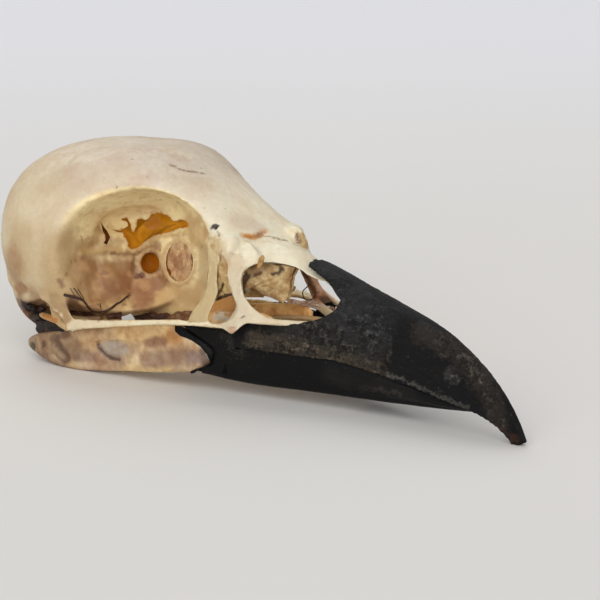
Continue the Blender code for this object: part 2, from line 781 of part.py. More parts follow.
# Thin bones of cheek and palate
def make_cheek_bar(side, name):
    body = rod(
        mirrored(
            (
                (15.1, 12.7, 5.5),
                (16.6, 12.8, 6.3),
                (20.0, 12.3, 7.0),
                (24.6, 11.6, 7.7),
                (30.0, 10.8, 8.4),
                (34.0, 10.0, 8.9),
                (37.8, 9.0, 9.0),
            ),
            side,
        ),
        ((0.5, 0.6), (0.5, 0.65), (0.45, 0.55), (0.4, 0.45), (0.35, 0.36), (0.35, 0.32), (0.35, 0.32)),
        steps=2,
        sides=8,
    )
    return finish(body, name, "bone")


def quadrate_pieces(side, grow=0.0):
    """The bone on which the jaw swings: its pillar, the spur toward the eye, the jaw knob."""
    pillar = rod(
        mirrored(
            ((8.6 - grow, 10.3, 8.9 + grow), (10.2, 11.2, 7.5), (12.0, 11.8, 6.2), (13.9, 12.2, 5.3)), side
        ),
        [(wide + grow, high + grow) for wide, high in ((0.8, 0.8), (0.8, 0.75), (1.1, 0.9), (0.6, 0.5))],
    )
    spur = rod(
        mirrored(((11.9, 11.0, 5.9), (14.2, 9.8, 6.0), (16.4, 8.8, 6.6)), side),
        [(wide + grow, high + grow) for wide, high in ((0.8, 0.8), (0.6, 0.7), (0.35, 0.4))],
    )
    radii = (1.3 + grow, 1.5 + grow, 0.75 + grow)
    knob = ellipsoid((11.9, 10.7 * side, 5.6), radii, segments=20)
    return [pillar, spur, knob]


def make_quadrate(side, name):
    body, spur, knob = quadrate_pieces(side)
    combine(body, [spur, knob], "UNION")
    soften(body, BONE_GRID, 1, TRIANGLES["quadrate"])
    return finish(body, name, "bone")


def make_pterygoid(side, name):
    body = rod(
        mirrored(((13.8, 8.6, 5.2), (17.0, 5.6, 5.0), (20.4, 2.6, 4.9)), side),
        ((0.6, 0.5), (0.5, 0.45), (0.6, 0.5)),
        sides=8,
    )
    return finish(body, name, "bone")


def make_palatine(side, name):
    back = ((21.4, 2.3, 5.0), (26.0, 3.0, 5.5), (31.0, 3.1, 6.6))
    front = ((37.0, 2.6, 8.0), (43.0, 2.2, 8.8), (48.2, 1.7, 9.0))
    sizes = ((0.7, 0.35), (1.3, 0.35), (1.2, 0.35), (0.7, 0.35), (0.6, 0.35), (0.6, 0.35))
    body = rod(mirrored(back + front, side), sizes, sides=8)
    return finish(body, name, "bone")


def make_nasal_septum():
    outline = ((38.0, 15.2), (41.4, 15.0), (40.7, 12.4), (39.8, 10.8), (38.0, 11.6))
    body = slab(outline, -0.3, 0.3)
    return finish(body, "nasal_septum", "dry_membrane")


def make_skull():
    for obj in list(bpy.data.objects):
        bpy.data.objects.remove(obj)
    make_cranium()
    make_upper_sheath()
    make_upper_jaw()
    make_lower_sheath()
    make_mandible()
    for side, word in ((-1, "right"), (1, "left")):
        make_cheek_bar(side, f"jugal_bar_{word}")
        make_quadrate(side, f"quadrate_{word}")
        make_pterygoid(side, f"pterygoid_{word}")
        make_palatine(side, f"palatine_{word}")
    make_nasal_septum()


make_skull()
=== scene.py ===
import math

import bmesh
import bpy
import numpy as np
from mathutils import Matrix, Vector, noise
from mathutils.bvhtree import BVHTree


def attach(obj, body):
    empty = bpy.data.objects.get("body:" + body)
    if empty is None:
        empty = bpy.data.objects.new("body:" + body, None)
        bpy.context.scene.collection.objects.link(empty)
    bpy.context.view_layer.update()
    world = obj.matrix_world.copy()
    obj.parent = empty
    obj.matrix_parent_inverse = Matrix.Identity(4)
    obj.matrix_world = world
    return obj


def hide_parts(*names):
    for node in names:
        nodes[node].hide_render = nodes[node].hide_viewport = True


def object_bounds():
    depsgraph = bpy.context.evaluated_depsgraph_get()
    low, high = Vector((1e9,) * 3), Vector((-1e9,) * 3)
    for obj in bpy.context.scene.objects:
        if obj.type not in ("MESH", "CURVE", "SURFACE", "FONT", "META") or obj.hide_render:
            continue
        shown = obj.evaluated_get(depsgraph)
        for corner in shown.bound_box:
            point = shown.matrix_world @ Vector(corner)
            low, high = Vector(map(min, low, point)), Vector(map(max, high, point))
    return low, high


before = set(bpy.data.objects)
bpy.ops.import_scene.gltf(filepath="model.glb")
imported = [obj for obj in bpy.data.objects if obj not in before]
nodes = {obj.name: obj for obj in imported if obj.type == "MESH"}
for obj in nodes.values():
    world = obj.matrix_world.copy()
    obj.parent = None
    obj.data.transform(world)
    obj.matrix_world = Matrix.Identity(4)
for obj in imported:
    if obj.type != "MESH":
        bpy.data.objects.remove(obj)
cadLow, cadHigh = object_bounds()
print("frame loaded with", len(nodes), "nodes")

# All places below are in millimetres in the skull's own frame: x forward, y to the bird's left,
# z up from the table. toRow() turns them into the frame's metres.
skull = {"backOfHead": -2.8, "orbitCentre": (24.2, 10.5, 14.8), "orbitRadii": (10.2, 14.0, 9.2)}
mm = 0.001
rowShift = Vector((cadLow.x - skull["backOfHead"] * mm, 0.0, 0.0))


def toRow(point):
    return Vector(point) * mm + rowShift


def toSkull(point):
    return (Vector(point) - rowShift) / mm


def addObject(name, data):
    thing = bpy.data.objects.new(name, data)
    bpy.context.scene.collection.objects.link(thing)
    return thing


# Camera at the photo's angle. Features that are seen best in the photo are placed by the pixel
# where they show, and are cast from this camera onto the bone that carries them.
photoCamera = {
    "yaw": 43.0,
    "elevation": 12.58,
    "distance": 260.13,
    "aim": (40.0, 0.0, 12.0),
    "lens": 127.95,
    "sensor": 36.0,
    "frameSize": 600,
    "centrePixel": (285.1, 292.54),
    "clipStart": 0.001,
}


def cameraAxes():
    yaw, rise = (math.radians(photoCamera[key]) for key in ("yaw", "elevation"))
    back = Vector((math.sin(yaw) * math.cos(rise), -math.cos(yaw) * math.cos(rise), math.sin(rise)))
    right = Vector((math.cos(yaw), math.sin(yaw), 0.0))
    return back, right, back.cross(right)


def focalPixels():
    return photoCamera["lens"] / photoCamera["sensor"] * photoCamera["frameSize"]


def pixelRay(px, py):
    # start and direction of the ray through a pixel of the photo, in skull millimetres
    back, right, up = cameraAxes()
    start = Vector(photoCamera["aim"]) + back * photoCamera["distance"]
    focal = focalPixels()
    middleX, middleY = photoCamera["centrePixel"]
    aside = right * ((px - middleX) / focal)
    above = up * ((middleY - py) / focal)
    return start, (aside + above - back).normalized()


def onPlane(px, py, y):
    # where the ray through a pixel meets an upright plane along the skull
    start, ray = pixelRay(px, py)
    return start + ray * ((y - start.y) / ray.y)


def makeCamera():
    back, right, up = cameraAxes()
    data = bpy.data.cameras.new("camera")
    data.lens = photoCamera["lens"]
    data.sensor_width = photoCamera["sensor"]
    size = photoCamera["frameSize"]
    middleX, middleY = photoCamera["centrePixel"]
    data.shift_x = (size / 2 - middleX) / size
    data.shift_y = (middleY - size / 2) / size
    data.clip_start = photoCamera["clipStart"]
    camera = addObject("camera", data)
    camera.location = toRow(photoCamera["aim"]) + back * photoCamera["distance"] * mm
    camera.rotation_mode = "QUATERNION"
    camera.rotation_quaternion = back.to_track_quat("Z", "Y")
    bpy.context.scene.camera = camera


makeCamera()
print("camera ready")


# Shader maths
class Wire:
    # one output socket, with the operators that the materials use
    def __init__(self, paint, socket):
        self.paint = paint
        self.socket = socket

    def maths(self, operation, first, second):
        return self.paint.node("ShaderNodeMath", {"operation": operation}, {0: first, 1: second})

    def __add__(self, other):
        return self.maths("ADD", self, other)

    def __radd__(self, other):
        return self.maths("ADD", other, self)

    def __sub__(self, other):
        return self.maths("SUBTRACT", self, other)

    def __rsub__(self, other):
        return self.maths("SUBTRACT", other, self)

    def __mul__(self, other):
        return self.maths("MULTIPLY", self, other)

    def __rmul__(self, other):
        return self.maths("MULTIPLY", other, self)


class Paint:
    # one material: any node comes from node(), which takes its type, settings and sockets
    def __init__(self, name):
        self.material = bpy.data.materials.new(name)
        self.material.use_nodes = True
        self.tree = self.material.node_tree
        self.shader = self.tree.nodes["Principled BSDF"]

    def node(self, kind, settings=None, sockets=None, output=0):
        made = self.tree.nodes.new(kind)
        for key, value in (settings or {}).items():
            setattr(made, key, value)
        for key, value in (sockets or {}).items():
            self.join(value, made.inputs[key])
        return Wire(self, made.outputs[output])

    def join(self, value, socket):
        if isinstance(value, Wire):
            self.tree.links.new(value.socket, socket)
        else:
            socket.default_value = value

    def feed(self, **sockets):
        # values and links of the Principled shader, by the socket's name without spaces
        names = {s.name.replace(" ", ""): s.name for s in self.shader.inputs}
        for key, value in sockets.items():
            self.join(value, self.shader.inputs[names[key]])

    def place(self, stretch=(1.0, 1.0, 1.0)):
        # place on the piece in millimetres, stretched along its axes
        coords = self.node("ShaderNodeTexCoord", output=3)
        factors = [s / mm for s in stretch]
        return self.node("ShaderNodeVectorMath", {"operation": "MULTIPLY"}, {0: coords, 1: factors})

    def brushed(self, name, stretch):
        # a vector that was stored on the mesh, stretched along its axes
        stored = self.node("ShaderNodeAttribute", {"attribute_name": name}, output=1)
        return self.node("ShaderNodeVectorMath", {"operation": "MULTIPLY"}, {0: stored, 1: stretch})

    def tone(self):
        return self.node("ShaderNodeAttribute", {"attribute_name": "tone"})

    def mask(self, name):
        return self.node("ShaderNodeAttribute", {"attribute_name": name}, output=2)

    def cloud(self, where, scale, detail, rough=0.55):
        sockets = {"Vector": where, "Scale": scale, "Detail": detail, "Roughness": rough}
        return self.node("ShaderNodeTexNoise", {}, sockets)

    def between(self, value, low, high, first=0.0, last=1.0):
        # value from low to high turned smoothly into first to last
        sockets = {0: value, 1: low, 2: high, 3: first, 4: last}
        return self.node("ShaderNodeMapRange", {"interpolation_type": "SMOOTHSTEP"}, sockets)

    def mix(self, first, second, share, way="MIX"):
        sockets = {0: share, 6: first, 7: second}
        return self.node("ShaderNodeMix", {"data_type": "RGBA", "blend_type": way}, sockets, 2)

    def bump(self, height, strength, distance):
        sockets = {"Height": height, "Strength": strength, "Distance": distance * mm}
        return self.node("ShaderNodeBump", {}, sockets)


def tint(red, green, blue):
    # a colour as it looks on a screen, 0 to 255, as the shader's linear values
    def linear(value):
        value /= 255.0
        return value / 12.92 if value <= 0.04045 else ((value + 0.055) / 1.055) ** 2.4

    return (linear(red), linear(green), linear(blue), 1.0)


# Mesh helpers
def curveThrough(points, steps):
    # points on a smooth curve through the given rows of numbers
    rows = [np.array(p, float) for p in points]
    if len(rows) == 1:
        return rows
    rows = [2 * rows[0] - rows[1], *rows, 2 * rows[-1] - rows[-2]]
    found = []
    for i in range(1, len(rows) - 2):
        a, b, c, d = rows[i - 1 : i + 3]
        for k in range(steps):
            t = k / steps
            bend = (2 * a - 5 * b + 4 * c - d) * t**2 + (3 * b - a - 3 * c + d) * t**3
            found.append(0.5 * (2 * b + (c - a) * t + bend))
    found.append(rows[-2])
    return found


def newPiece(name, vertices, faces, material=None):
    mesh = bpy.data.meshes.new(name)
    mesh.from_pydata([toRow(v) for v in vertices], [], faces)
    piece = addObject(name, mesh)
    if material:
        mesh.materials.append(materials[material])
    mesh.shade_smooth()
    return piece


def applyModifiers(piece):
    graph = bpy.context.evaluated_depsgraph_get()
    mesh = bpy.data.meshes.new_from_object(piece.evaluated_get(graph))
    piece.modifiers.clear()
    piece.data = mesh


def skinRings(rings):
    # vertices and faces of a closed body through rings with the same number of points
    count = len(rings[0])
    faces = []
    for i in range(len(rings) - 1):
        for k in range(count):
            low, high = i * count, (i + 1) * count
            j = (k + 1) % count
            faces.append((low + k, low + j, high + j, high + k))
    last = (len(rings) - 1) * count
    faces.append(tuple(reversed(range(count))))
    faces.append(tuple(last + k for k in range(count)))
    return [v for ring in rings for v in ring], faces


def tube(points, radii, sides, steps, flat=(0.12, 0.2, 0.97), thinnest=0.02):
    # a rod through points, with a radius or a (wide, thick) pair at each; its thin way lies
    # along the flat direction
    pairs = [(r, r) if isinstance(r, (int, float)) else r for r in radii]
    path = [Vector(p) for p in curveThrough(points, steps)]
    sizes = curveThrough(pairs, steps)
    rings = []
    for i, point in enumerate(path):
        ahead = (path[min(i + 1, len(path) - 1)] - path[max(i - 1, 0)]).normalized()
        out = Vector(flat)
        out = (out - ahead * out.dot(ahead)).normalized()
        wide = ahead.cross(out)
        ring = []
        for k in range(sides):
            angle = math.tau * k / sides
            across = wide * (max(sizes[i][0], thinnest) * math.cos(angle))
            ring.append(point + across + out * (max(sizes[i][1], thinnest) * math.sin(angle)))
        rings.append(ring)
    return skinRings(rings)


def ball(centre, radii, rows=12, columns=20):
    # a round body with its own radius along each axis
    rings = []
    for i in range(1, rows):
        tilt = math.pi * i / rows
        ring = []
        for k in range(columns):
            angle = math.tau * k / columns
            reach = (math.sin(tilt) * math.cos(angle), math.sin(tilt) * math.sin(angle), math.cos(tilt))
            ring.append(Vector(centre) + Vector([a * b for a, b in zip(reach, radii)]))
        rings.append(ring)
    return skinRings(rings)


def together(shapes):
    # vertices and faces of several bodies as one
    vertices, faces = [], []
    for some, theirs in shapes:
        start = len(vertices)
        vertices += some
        faces += [tuple(start + k for k in face) for face in theirs]
    return vertices, faces


def otherSide(shape):
    # the mirror image of a body
    vertices, faces = shape
    return [Vector((v[0], -v[1], v[2])) for v in vertices], [tuple(reversed(face)) for face in faces]


def bothSides(shapes):
    return list(shapes) + [otherSide(shape) for shape in shapes]


def copyOfNodes(names):
    # one mesh of copies of CAD nodes
    bm = bmesh.new()
    for key in names:
        bm.from_mesh(nodes[key].data)
    bmesh.ops.remove_doubles(bm, verts=bm.verts, dist=0.001 * mm)
    mesh = bpy.data.meshes.new("copy")
    bm.to_mesh(mesh)
    bm.free()
    return addObject("copy", mesh)


def turnOutward(piece):
    # makes the normals of closed bodies point out
    bm = bmesh.new()
    bm.from_mesh(piece.data)
    bmesh.ops.recalc_face_normals(bm, faces=bm.faces)
    bm.to_mesh(piece.data)
    bm.free()


def joinPieces(piece, added):
    # moves the mesh of one piece into another
    bm = bmesh.new()
    bm.from_mesh(piece.data)
    bm.from_mesh(added.data)
    bm.to_mesh(piece.data)
    bm.free()
    bpy.data.objects.remove(added)


def joinShapes(piece, shapes):
    # adds bodies to a piece's mesh
    added = newPiece("added", *together(shapes))
    turnOutward(added)
    joinPieces(piece, added)


def mirrorPiece(piece):
    # joins the mirror image of a piece to it
    bm = bmesh.new()
    bm.from_mesh(piece.data)
    whole = bmesh.ops.duplicate(bm, geom=bm.verts[:] + bm.edges[:] + bm.faces[:])["geom"]
    faces = [item for item in whole if isinstance(item, bmesh.types.BMFace)]
    for item in whole:
        if isinstance(item, bmesh.types.BMVert):
            item.co.y = -item.co.y
    bmesh.ops.reverse_faces(bm, faces=faces)
    bm.to_mesh(piece.data)
    bm.free()
    return piece


def refine(piece, voxel, rounds, subdivide=1, extra=()):
    # rounds off the facets: a finer mesh, fused with added bodies on a small grid and smoothed
    if subdivide:
        finer = piece.modifiers.new("finer", "SUBSURF")
        finer.levels = subdivide
        applyModifiers(piece)
    if extra:
        joinShapes(piece, extra)
    fuse = piece.modifiers.new("fuse", "REMESH")
    fuse.mode = "VOXEL"
    fuse.voxel_size = voxel * mm
    smooth = piece.modifiers.new("smooth", "SMOOTH")
    smooth.factor = 0.5
    smooth.iterations = rounds
    applyModifiers(piece)
    piece.data.materials.clear()
    piece.data.shade_smooth()
    return piece


def pointsOf(piece):
    flat = np.zeros(len(piece.data.vertices) * 3)
    piece.data.vertices.foreach_get("co", flat)
    return (flat.reshape(-1, 3) - np.array(rowShift)) / mm


def setPoints(piece, points):
    piece.data.vertices.foreach_set("co", (points * mm + np.array(rowShift)).ravel())
    piece.data.update()


def normalsOf(piece):
    flat = np.zeros(len(piece.data.vertices) * 3)
    piece.data.vertices.foreach_get("normal", flat)
    return flat.reshape(-1, 3)


def storeMask(piece, name, values):
    attribute = piece.data.attributes.new(name, "FLOAT", "POINT")
    attribute.data.foreach_set("value", np.clip(values, 0.0, 1.0).astype(np.float32))


def storeVector(piece, name, values):
    attribute = piece.data.attributes.new(name, "FLOAT_VECTOR", "POINT")
    attribute.data.foreach_set("vector", values.astype(np.float32).ravel())


def smoothStep(value, low, high):
    t = np.clip((value - low) / (high - low), 0.0, 1.0)
    return t * t * (3 - 2 * t)


def roughness(points, scale, seed, octaves=3):
    # smooth noise of about -1 to 1 at each point
    moved = points * scale + seed * 17.3  # each seed takes another part of the noise
    return np.array([noise.fractal(Vector(p), 1.0, 2.0, octaves) for p in moved])


def roughen(piece, height, scale, seed):
    # lifts the surface unevenly, and gives the places as they were before
    points = pointsOf(piece)
    lift = height * roughness(points, scale, seed)
    setPoints(piece, points + normalsOf(piece) * lift[:, None])
    return points


def folded(points):
    # the same places on the bird's right side
    return np.column_stack([points[:, 0], -np.abs(points[:, 1]), points[:, 2]])


def nearPath(points, path, full, reach, steps=3):
    # 1 within full of a smooth path, 0 beyond its reach
    line = np.array(curveThrough(path, steps))
    if len(line) == 1:
        line = np.vstack([line, line])
    low, high = line.min(axis=0) - reach, line.max(axis=0) + reach
    close = np.flatnonzero(np.all((points > low) & (points < high), axis=1))
    share = np.zeros(len(points))
    if not len(close):
        return share
    some = points[close]
    best = np.full(len(some), 1e9)
    for first, last in zip(line[:-1], line[1:]):
        span = last - first
        place = np.clip((some - first) @ span / max(span @ span, 1e-9), 0.0, 1.0)
        best = np.minimum(best, np.linalg.norm(some - first - place[:, None] * span, axis=1))
    share[close] = smoothStep(best, reach, full)
    return share


def treeOf(piece):
    bm = bmesh.new()
    bm.from_mesh(piece.data)
    tree = BVHTree.FromBMesh(bm)
    bm.free()
    return tree


def castOn(tree, px, py):
    # place and normal of the surface that shows at a pixel, or nothing
    start, ray = pixelRay(px, py)
    found = tree.ray_cast(toRow(start), ray)
    if found[0] is None:
        return None
    return toSkull(found[0]), Vector(found[1])


def castPath(tree, pixels):
    hits = [castOn(tree, px, py) for px, py in pixels]
    return [hit[0] for hit in hits if hit]


def pixelRing(centre, radii, count):
    # pixels of an ellipse, with its half width and half height
    found = []
    for k in range(count):
        angle = math.tau * k / count
        found.append((centre[0] + radii[0] * math.cos(angle), centre[1] + radii[1] * math.sin(angle)))
    return found


def pixelsOf(points):
    # where in the photo each place shows
    back, right, up = (np.array(axis) for axis in cameraAxes())
    offset = points - np.array(photoCamera["aim"]) - back * photoCamera["distance"]
    deep = -(offset @ back)
    focal = focalPixels()
    middleX, middleY = photoCamera["centrePixel"]
    return middleX + focal * (offset @ right) / deep, middleY - focal * (offset @ up) / deep


def insideOf(px, py, outline, soft):
    # 1 inside a closed line of pixels and 0 outside it, soft over some pixels
    best = np.full(len(px), 1e9)
    inside = np.zeros(len(px), bool)
    for (ax, ay), (bx, by) in zip(outline, [*outline[1:], outline[0]]):
        wide, tall = bx - ax, by - ay
        t = np.clip(((px - ax) * wide + (py - ay) * tall) / max(wide**2 + tall**2, 1e-9), 0.0, 1.0)
        best = np.minimum(best, np.hypot(px - ax - t * wide, py - ay - t * tall))
        if tall:
            inside ^= ((ay > py) != (by > py)) & (px < ax + (py - ay) * wide / tall)
    return smoothStep(np.where(inside, best, -best), -soft, soft)


def prism(rows):
    # a body whose outline shows at pixels, each with the y where it begins and ends
    near = [onPlane(px, py, first) for px, py, first, last in rows]
    far = [onPlane(px, py, last) for px, py, first, last in rows]
    return skinRings([near, far])


def upright(pixels, first, last):
    # a body whose outline shows at pixels, from one upright plane to another
    return prism([(px, py, first, last) for px, py in pixels])


def slab(rows, thin):
    # a thin body whose outline shows at pixels, each with its y
    return prism([(px, py, y - thin / 2, y + thin / 2) for px, py, y in rows])


class Coat:
    # colours laid on a piece point by point, kept as the attribute "tone"; ragged is how far the
    # edges of its marks wander, in millimetres
    def __init__(self, piece, colour, seed=1, ragged=0.25):
        self.piece = piece
        self.tree = treeOf(piece)
        self.points = pointsOf(piece)
        self.normals = normalsOf(piece)
        jitter = [ragged * roughness(self.points, 1.7, seed + k, 2) for k in range(2)]
        self.moved = self.points + np.column_stack([jitter[0], jitter[1], jitter[0] - jitter[1]])
        self.colours = np.tile(np.array(tint(*colour)[:3]), (len(self.points), 1))
        self.px, self.py = pixelsOf(folded(self.moved))
        side = np.where(self.points[:, 1] > 0, -1.0, 1.0)
        turned = self.normals * np.column_stack([np.ones(len(side)), side, np.ones(len(side))])
        self.faces = smoothStep(turned @ np.array(cameraAxes()[0]), -0.1, 0.1)  # 1 toward the camera

    def within(self, pixels, soft, wander=0.0):
        # what shows inside a closed line of pixels, with an uneven edge where it wanders
        px, py = self.px, self.py
        if wander:
            px = px + wander * roughness(self.points, 0.3, 21)
            py = py + wander * roughness(self.points, 0.3, 22)
        return insideOf(px, py, pixels, soft) * self.faces

    def lay(self, colour, share):
        share = np.clip(share, 0.0, 1.0)[:, None]
        self.colours += (np.array(tint(*colour)[:3]) - self.colours) * share

    def near(self, pixels, full, reach, sided=False):
        path = castPath(self.tree, pixels)
        if not path:
            return np.zeros(len(self.points))
        return nearPath(self.moved if sided else folded(self.moved), path, full, reach)

    def marks(self, rows):
        # rows of colour, strength, full width, reach, pixels and whether on one side only
        for colour, strength, full, reach, pixels, *sided in rows:
            self.lay(colour, strength * self.near(pixels, full, reach, bool(sided)))

    def store(self, material):
        attribute = self.piece.data.attributes.new("tone", "FLOAT_COLOR", "POINT")
        colours = np.column_stack([self.colours, np.ones(len(self.colours))])
        attribute.data.foreach_set("color", colours.astype(np.float32).ravel())
        if material:
            self.piece.data.materials.append(materials[material])


def raiseAlong(piece, rows):
    # lifts or sinks the surface along pixel paths: height, full width, reach, pixels, one side
    tree = treeOf(piece)
    points = pointsOf(piece)
    normals = normalsOf(piece)
    lift = np.zeros(len(points))
    for height, full, reach, pixels, *sided in rows:
        path = castPath(tree, pixels)
        if path:
            lift += height * nearPath(points if sided else folded(points), path, full, reach)
    setPoints(piece, points + normals * lift[:, None])


def dress(piece, name, slot, *replaced):
    piece.name = name
    piece.data.name = name
    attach(piece, "root")
    if replaced:
        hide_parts(*replaced)


def cuttersOf(shapes, material):
    return [newPiece("cutter", *shape, material) for shape in shapes]


def cutAway(piece, cutters, operation="DIFFERENCE"):
    # cuts bodies out of a piece; the cut faces take the cutter's material
    tools = bpy.data.collections.new("tools")
    bpy.context.scene.collection.children.link(tools)
    for cutter in cutters:
        turnOutward(cutter)
        tools.objects.link(cutter)
    cut = piece.modifiers.new("cut", "BOOLEAN")
    cut.operation = operation
    cut.solver = "MANIFOLD"
    cut.material_mode = "TRANSFER"
    cut.operand_type = "COLLECTION"
    cut.collection = tools
    applyModifiers(piece)
    for cutter in cutters:
        bpy.data.objects.remove(cutter)
    bpy.data.collections.remove(tools)


# Materials
def makeBone(name, look):
    # pale bone with faint clouds, grain and pores
    paint = Paint(name)
    where = paint.place()
    tone = paint.tone()
    broad = paint.between(paint.cloud(where, 0.22, 3.0), 0.36, 0.66)
    fine = paint.between(paint.cloud(where, 1.2, 5.0), 0.36, 0.68)
    pores = paint.between(paint.cloud(where, 4.5, 2.0, 0.5), 0.64, 0.74)
    colour = paint.mix(tone, look["shade"], broad * look["mottle"], "MULTIPLY")
    colour = paint.mix(colour, look["shade"], fine * look["grain"], "MULTIPLY")
    colour = paint.mix(colour, look["pores"], pores * look["poring"], "MULTIPLY")
    paint.feed(
        BaseColor=colour,
        Roughness=look["rough"] + fine * 0.18,
        Normal=paint.bump(fine * 0.6 + broad * 0.4 - pores * 0.5, look["relief"], 0.12),
        SubsurfaceWeight=look["glow"],
        SubsurfaceRadius=(1.0, 0.6, 0.35),
        SubsurfaceScale=0.6 * mm,
        IOR=1.45,
    )
    return paint.material


boneLook = {
    "shade": tint(226, 200, 168),
    "mottle": 0.3,
    "grain": 0.14,
    "pores": tint(176, 138, 104),
    "poring": 0.35,
    "rough": 0.4,
    "relief": 0.3,
    "glow": 0.1,
}
jawLook = dict(boneLook, shade=tint(206, 176, 156), mottle=0.6, grain=0.5, relief=0.45)


def makeGlowing(name, light, dark, strength):
    # the thin wall of the braincase seen from inside: painted light, its colour glows as if light came
    # through it
    paint = Paint(name)
    cloudy = paint.between(paint.cloud(paint.place(), 0.45, 4.0), 0.3, 0.7)
    colour = paint.mix(light, dark, cloudy)
    paint.feed(BaseColor=colour, Roughness=0.6, EmissionColor=colour, EmissionStrength=strength, IOR=1.2)
    return paint.material


def makeSkin(name, look):
    # dried skin or gristle: mottled, a little glossy, with thin branching lines
    paint = Paint(name)
    where = paint.place()
    tone = paint.tone()
    blotch = paint.between(paint.cloud(where, 1.1, 4.0, 0.6), 0.36, 0.66)
    fine = paint.between(paint.cloud(where, 3.5, 4.0, 0.6), 0.36, 0.66)
    colour = paint.mix(tone, look["shade"], blotch * look["mottle"], "MULTIPLY")
    colour = paint.mix(colour, look["shade"], fine * look["mottle"] * 0.5, "MULTIPLY")
    paint.feed(
        BaseColor=colour,
        Roughness=look["rough"] + blotch * 0.2,
        Normal=paint.bump(blotch * 0.6 + fine * 0.4, look["relief"], 0.15),
        SubsurfaceWeight=0.1,
        SubsurfaceRadius=(1.0, 0.5, 0.25),
        SubsurfaceScale=0.5 * mm,
        EmissionColor=colour,
        EmissionStrength=look["glow"],
    )
    return paint.material


skinLook = {"shade": tint(190, 150, 112), "mottle": 0.6, "rough": 0.42, "relief": 0.5, "glow": 0.0}


def makeHorn(name, look):
    # horn of the bill: fibres run along it, and where it is worn it is grainy with pale flecks
    paint = Paint(name)
    tone = paint.tone()
    patchy = paint.between(paint.cloud(paint.place(), 0.42, 3.0), 0.38, 0.58)
    worn = paint.mask("worn") * (0.35 + patchy * 0.65)
    tone = paint.mix(look["black"], tone, 0.45 + patchy * 0.55)
    along = paint.brushed("grain", (0.2, 1.0, 1.0))
    spotted = paint.place((0.8, 1.0, 1.0))
    fibres = paint.between(paint.cloud(along, 1.1, 5.0, 0.65), 0.36, 0.66)
    grains = paint.between(paint.cloud(spotted, 1.5, 6.0, 0.72), 0.43, 0.6)
    veins = paint.cloud(spotted, 2.3, 4.0, 0.6) - 0.5  # thin lines where the noise is near 0.5
    veins = paint.between(veins * veins, 0.0, 0.0016, 1.0, 0.0)
    flecks = paint.between(paint.cloud(spotted, 5.5, 3.0, 0.6), 0.56, 0.66)
    colour = paint.mix(tone, look["black"], (1.0 - grains) * worn * 0.8 + fibres * 0.15)
    colour = paint.mix(colour, look["black"], veins * worn * 0.7)
    colour = paint.mix(colour, look["cream"], flecks * grains * worn * look["flecks"])
    dust = paint.between(paint.cloud(paint.place(), 2.6, 2.0, 0.6), 0.7, 0.75)
    colour = paint.mix(colour, look["cream"], dust * look["dust"])
    height = fibres * 0.35 + grains * worn + flecks * worn * 0.3 - veins * worn * 0.5
    paint.feed(
        BaseColor=colour,
        Roughness=look["rough"] + worn * 0.22 + fibres * 0.1,
        Normal=paint.bump(height, look["relief"], 0.25),
        IOR=look["gloss"],
    )
    return paint.material


upperLook = {
    "black": tint(14, 13, 14),
    "cream": tint(146, 134, 116),
    "flecks": 0.5,
    "dust": 0.2,
    "rough": 0.42,
    "relief": 0.9,
    "gloss": 1.23,
}
lowerLook = dict(upperLook, flecks=0.4, dust=0.15, rough=0.4, relief=0.35)

materials = {
    "bone": makeBone("bone_ivory", boneLook),
    "jaw": makeBone("bone_of_jaw", jawLook),
    # these three glow: painted light from inside the braincase
    "orange": makeGlowing("orange_inside", tint(196, 134, 30), tint(168, 108, 18), 0.15),
    "brown": makeGlowing("brown_inside", tint(152, 88, 8), tint(126, 66, 5), 0.16),
    "crack": makeGlowing("dark_crack", tint(126, 70, 28), tint(98, 50, 20), 0.05),
    "upperHorn": makeHorn("horn_of_upper_bill", upperLook),
    "lowerHorn": makeHorn("horn_of_lower_bill", lowerLook),
    "gristle": makeSkin("dry_gristle", skinLook),
    "skin": makeSkin("dry_skin", dict(skinLook, rough=0.3)),
    # the lit skin glows a little: painted light on the skin inside the mouth
    "litSkin": makeSkin("lit_skin", dict(skinLook, mottle=0.3, glow=0.1)),
    "tissue": makeSkin("dark_tissue", dict(skinLook, mottle=0.8, relief=0.9)),
}
print("materials ready")


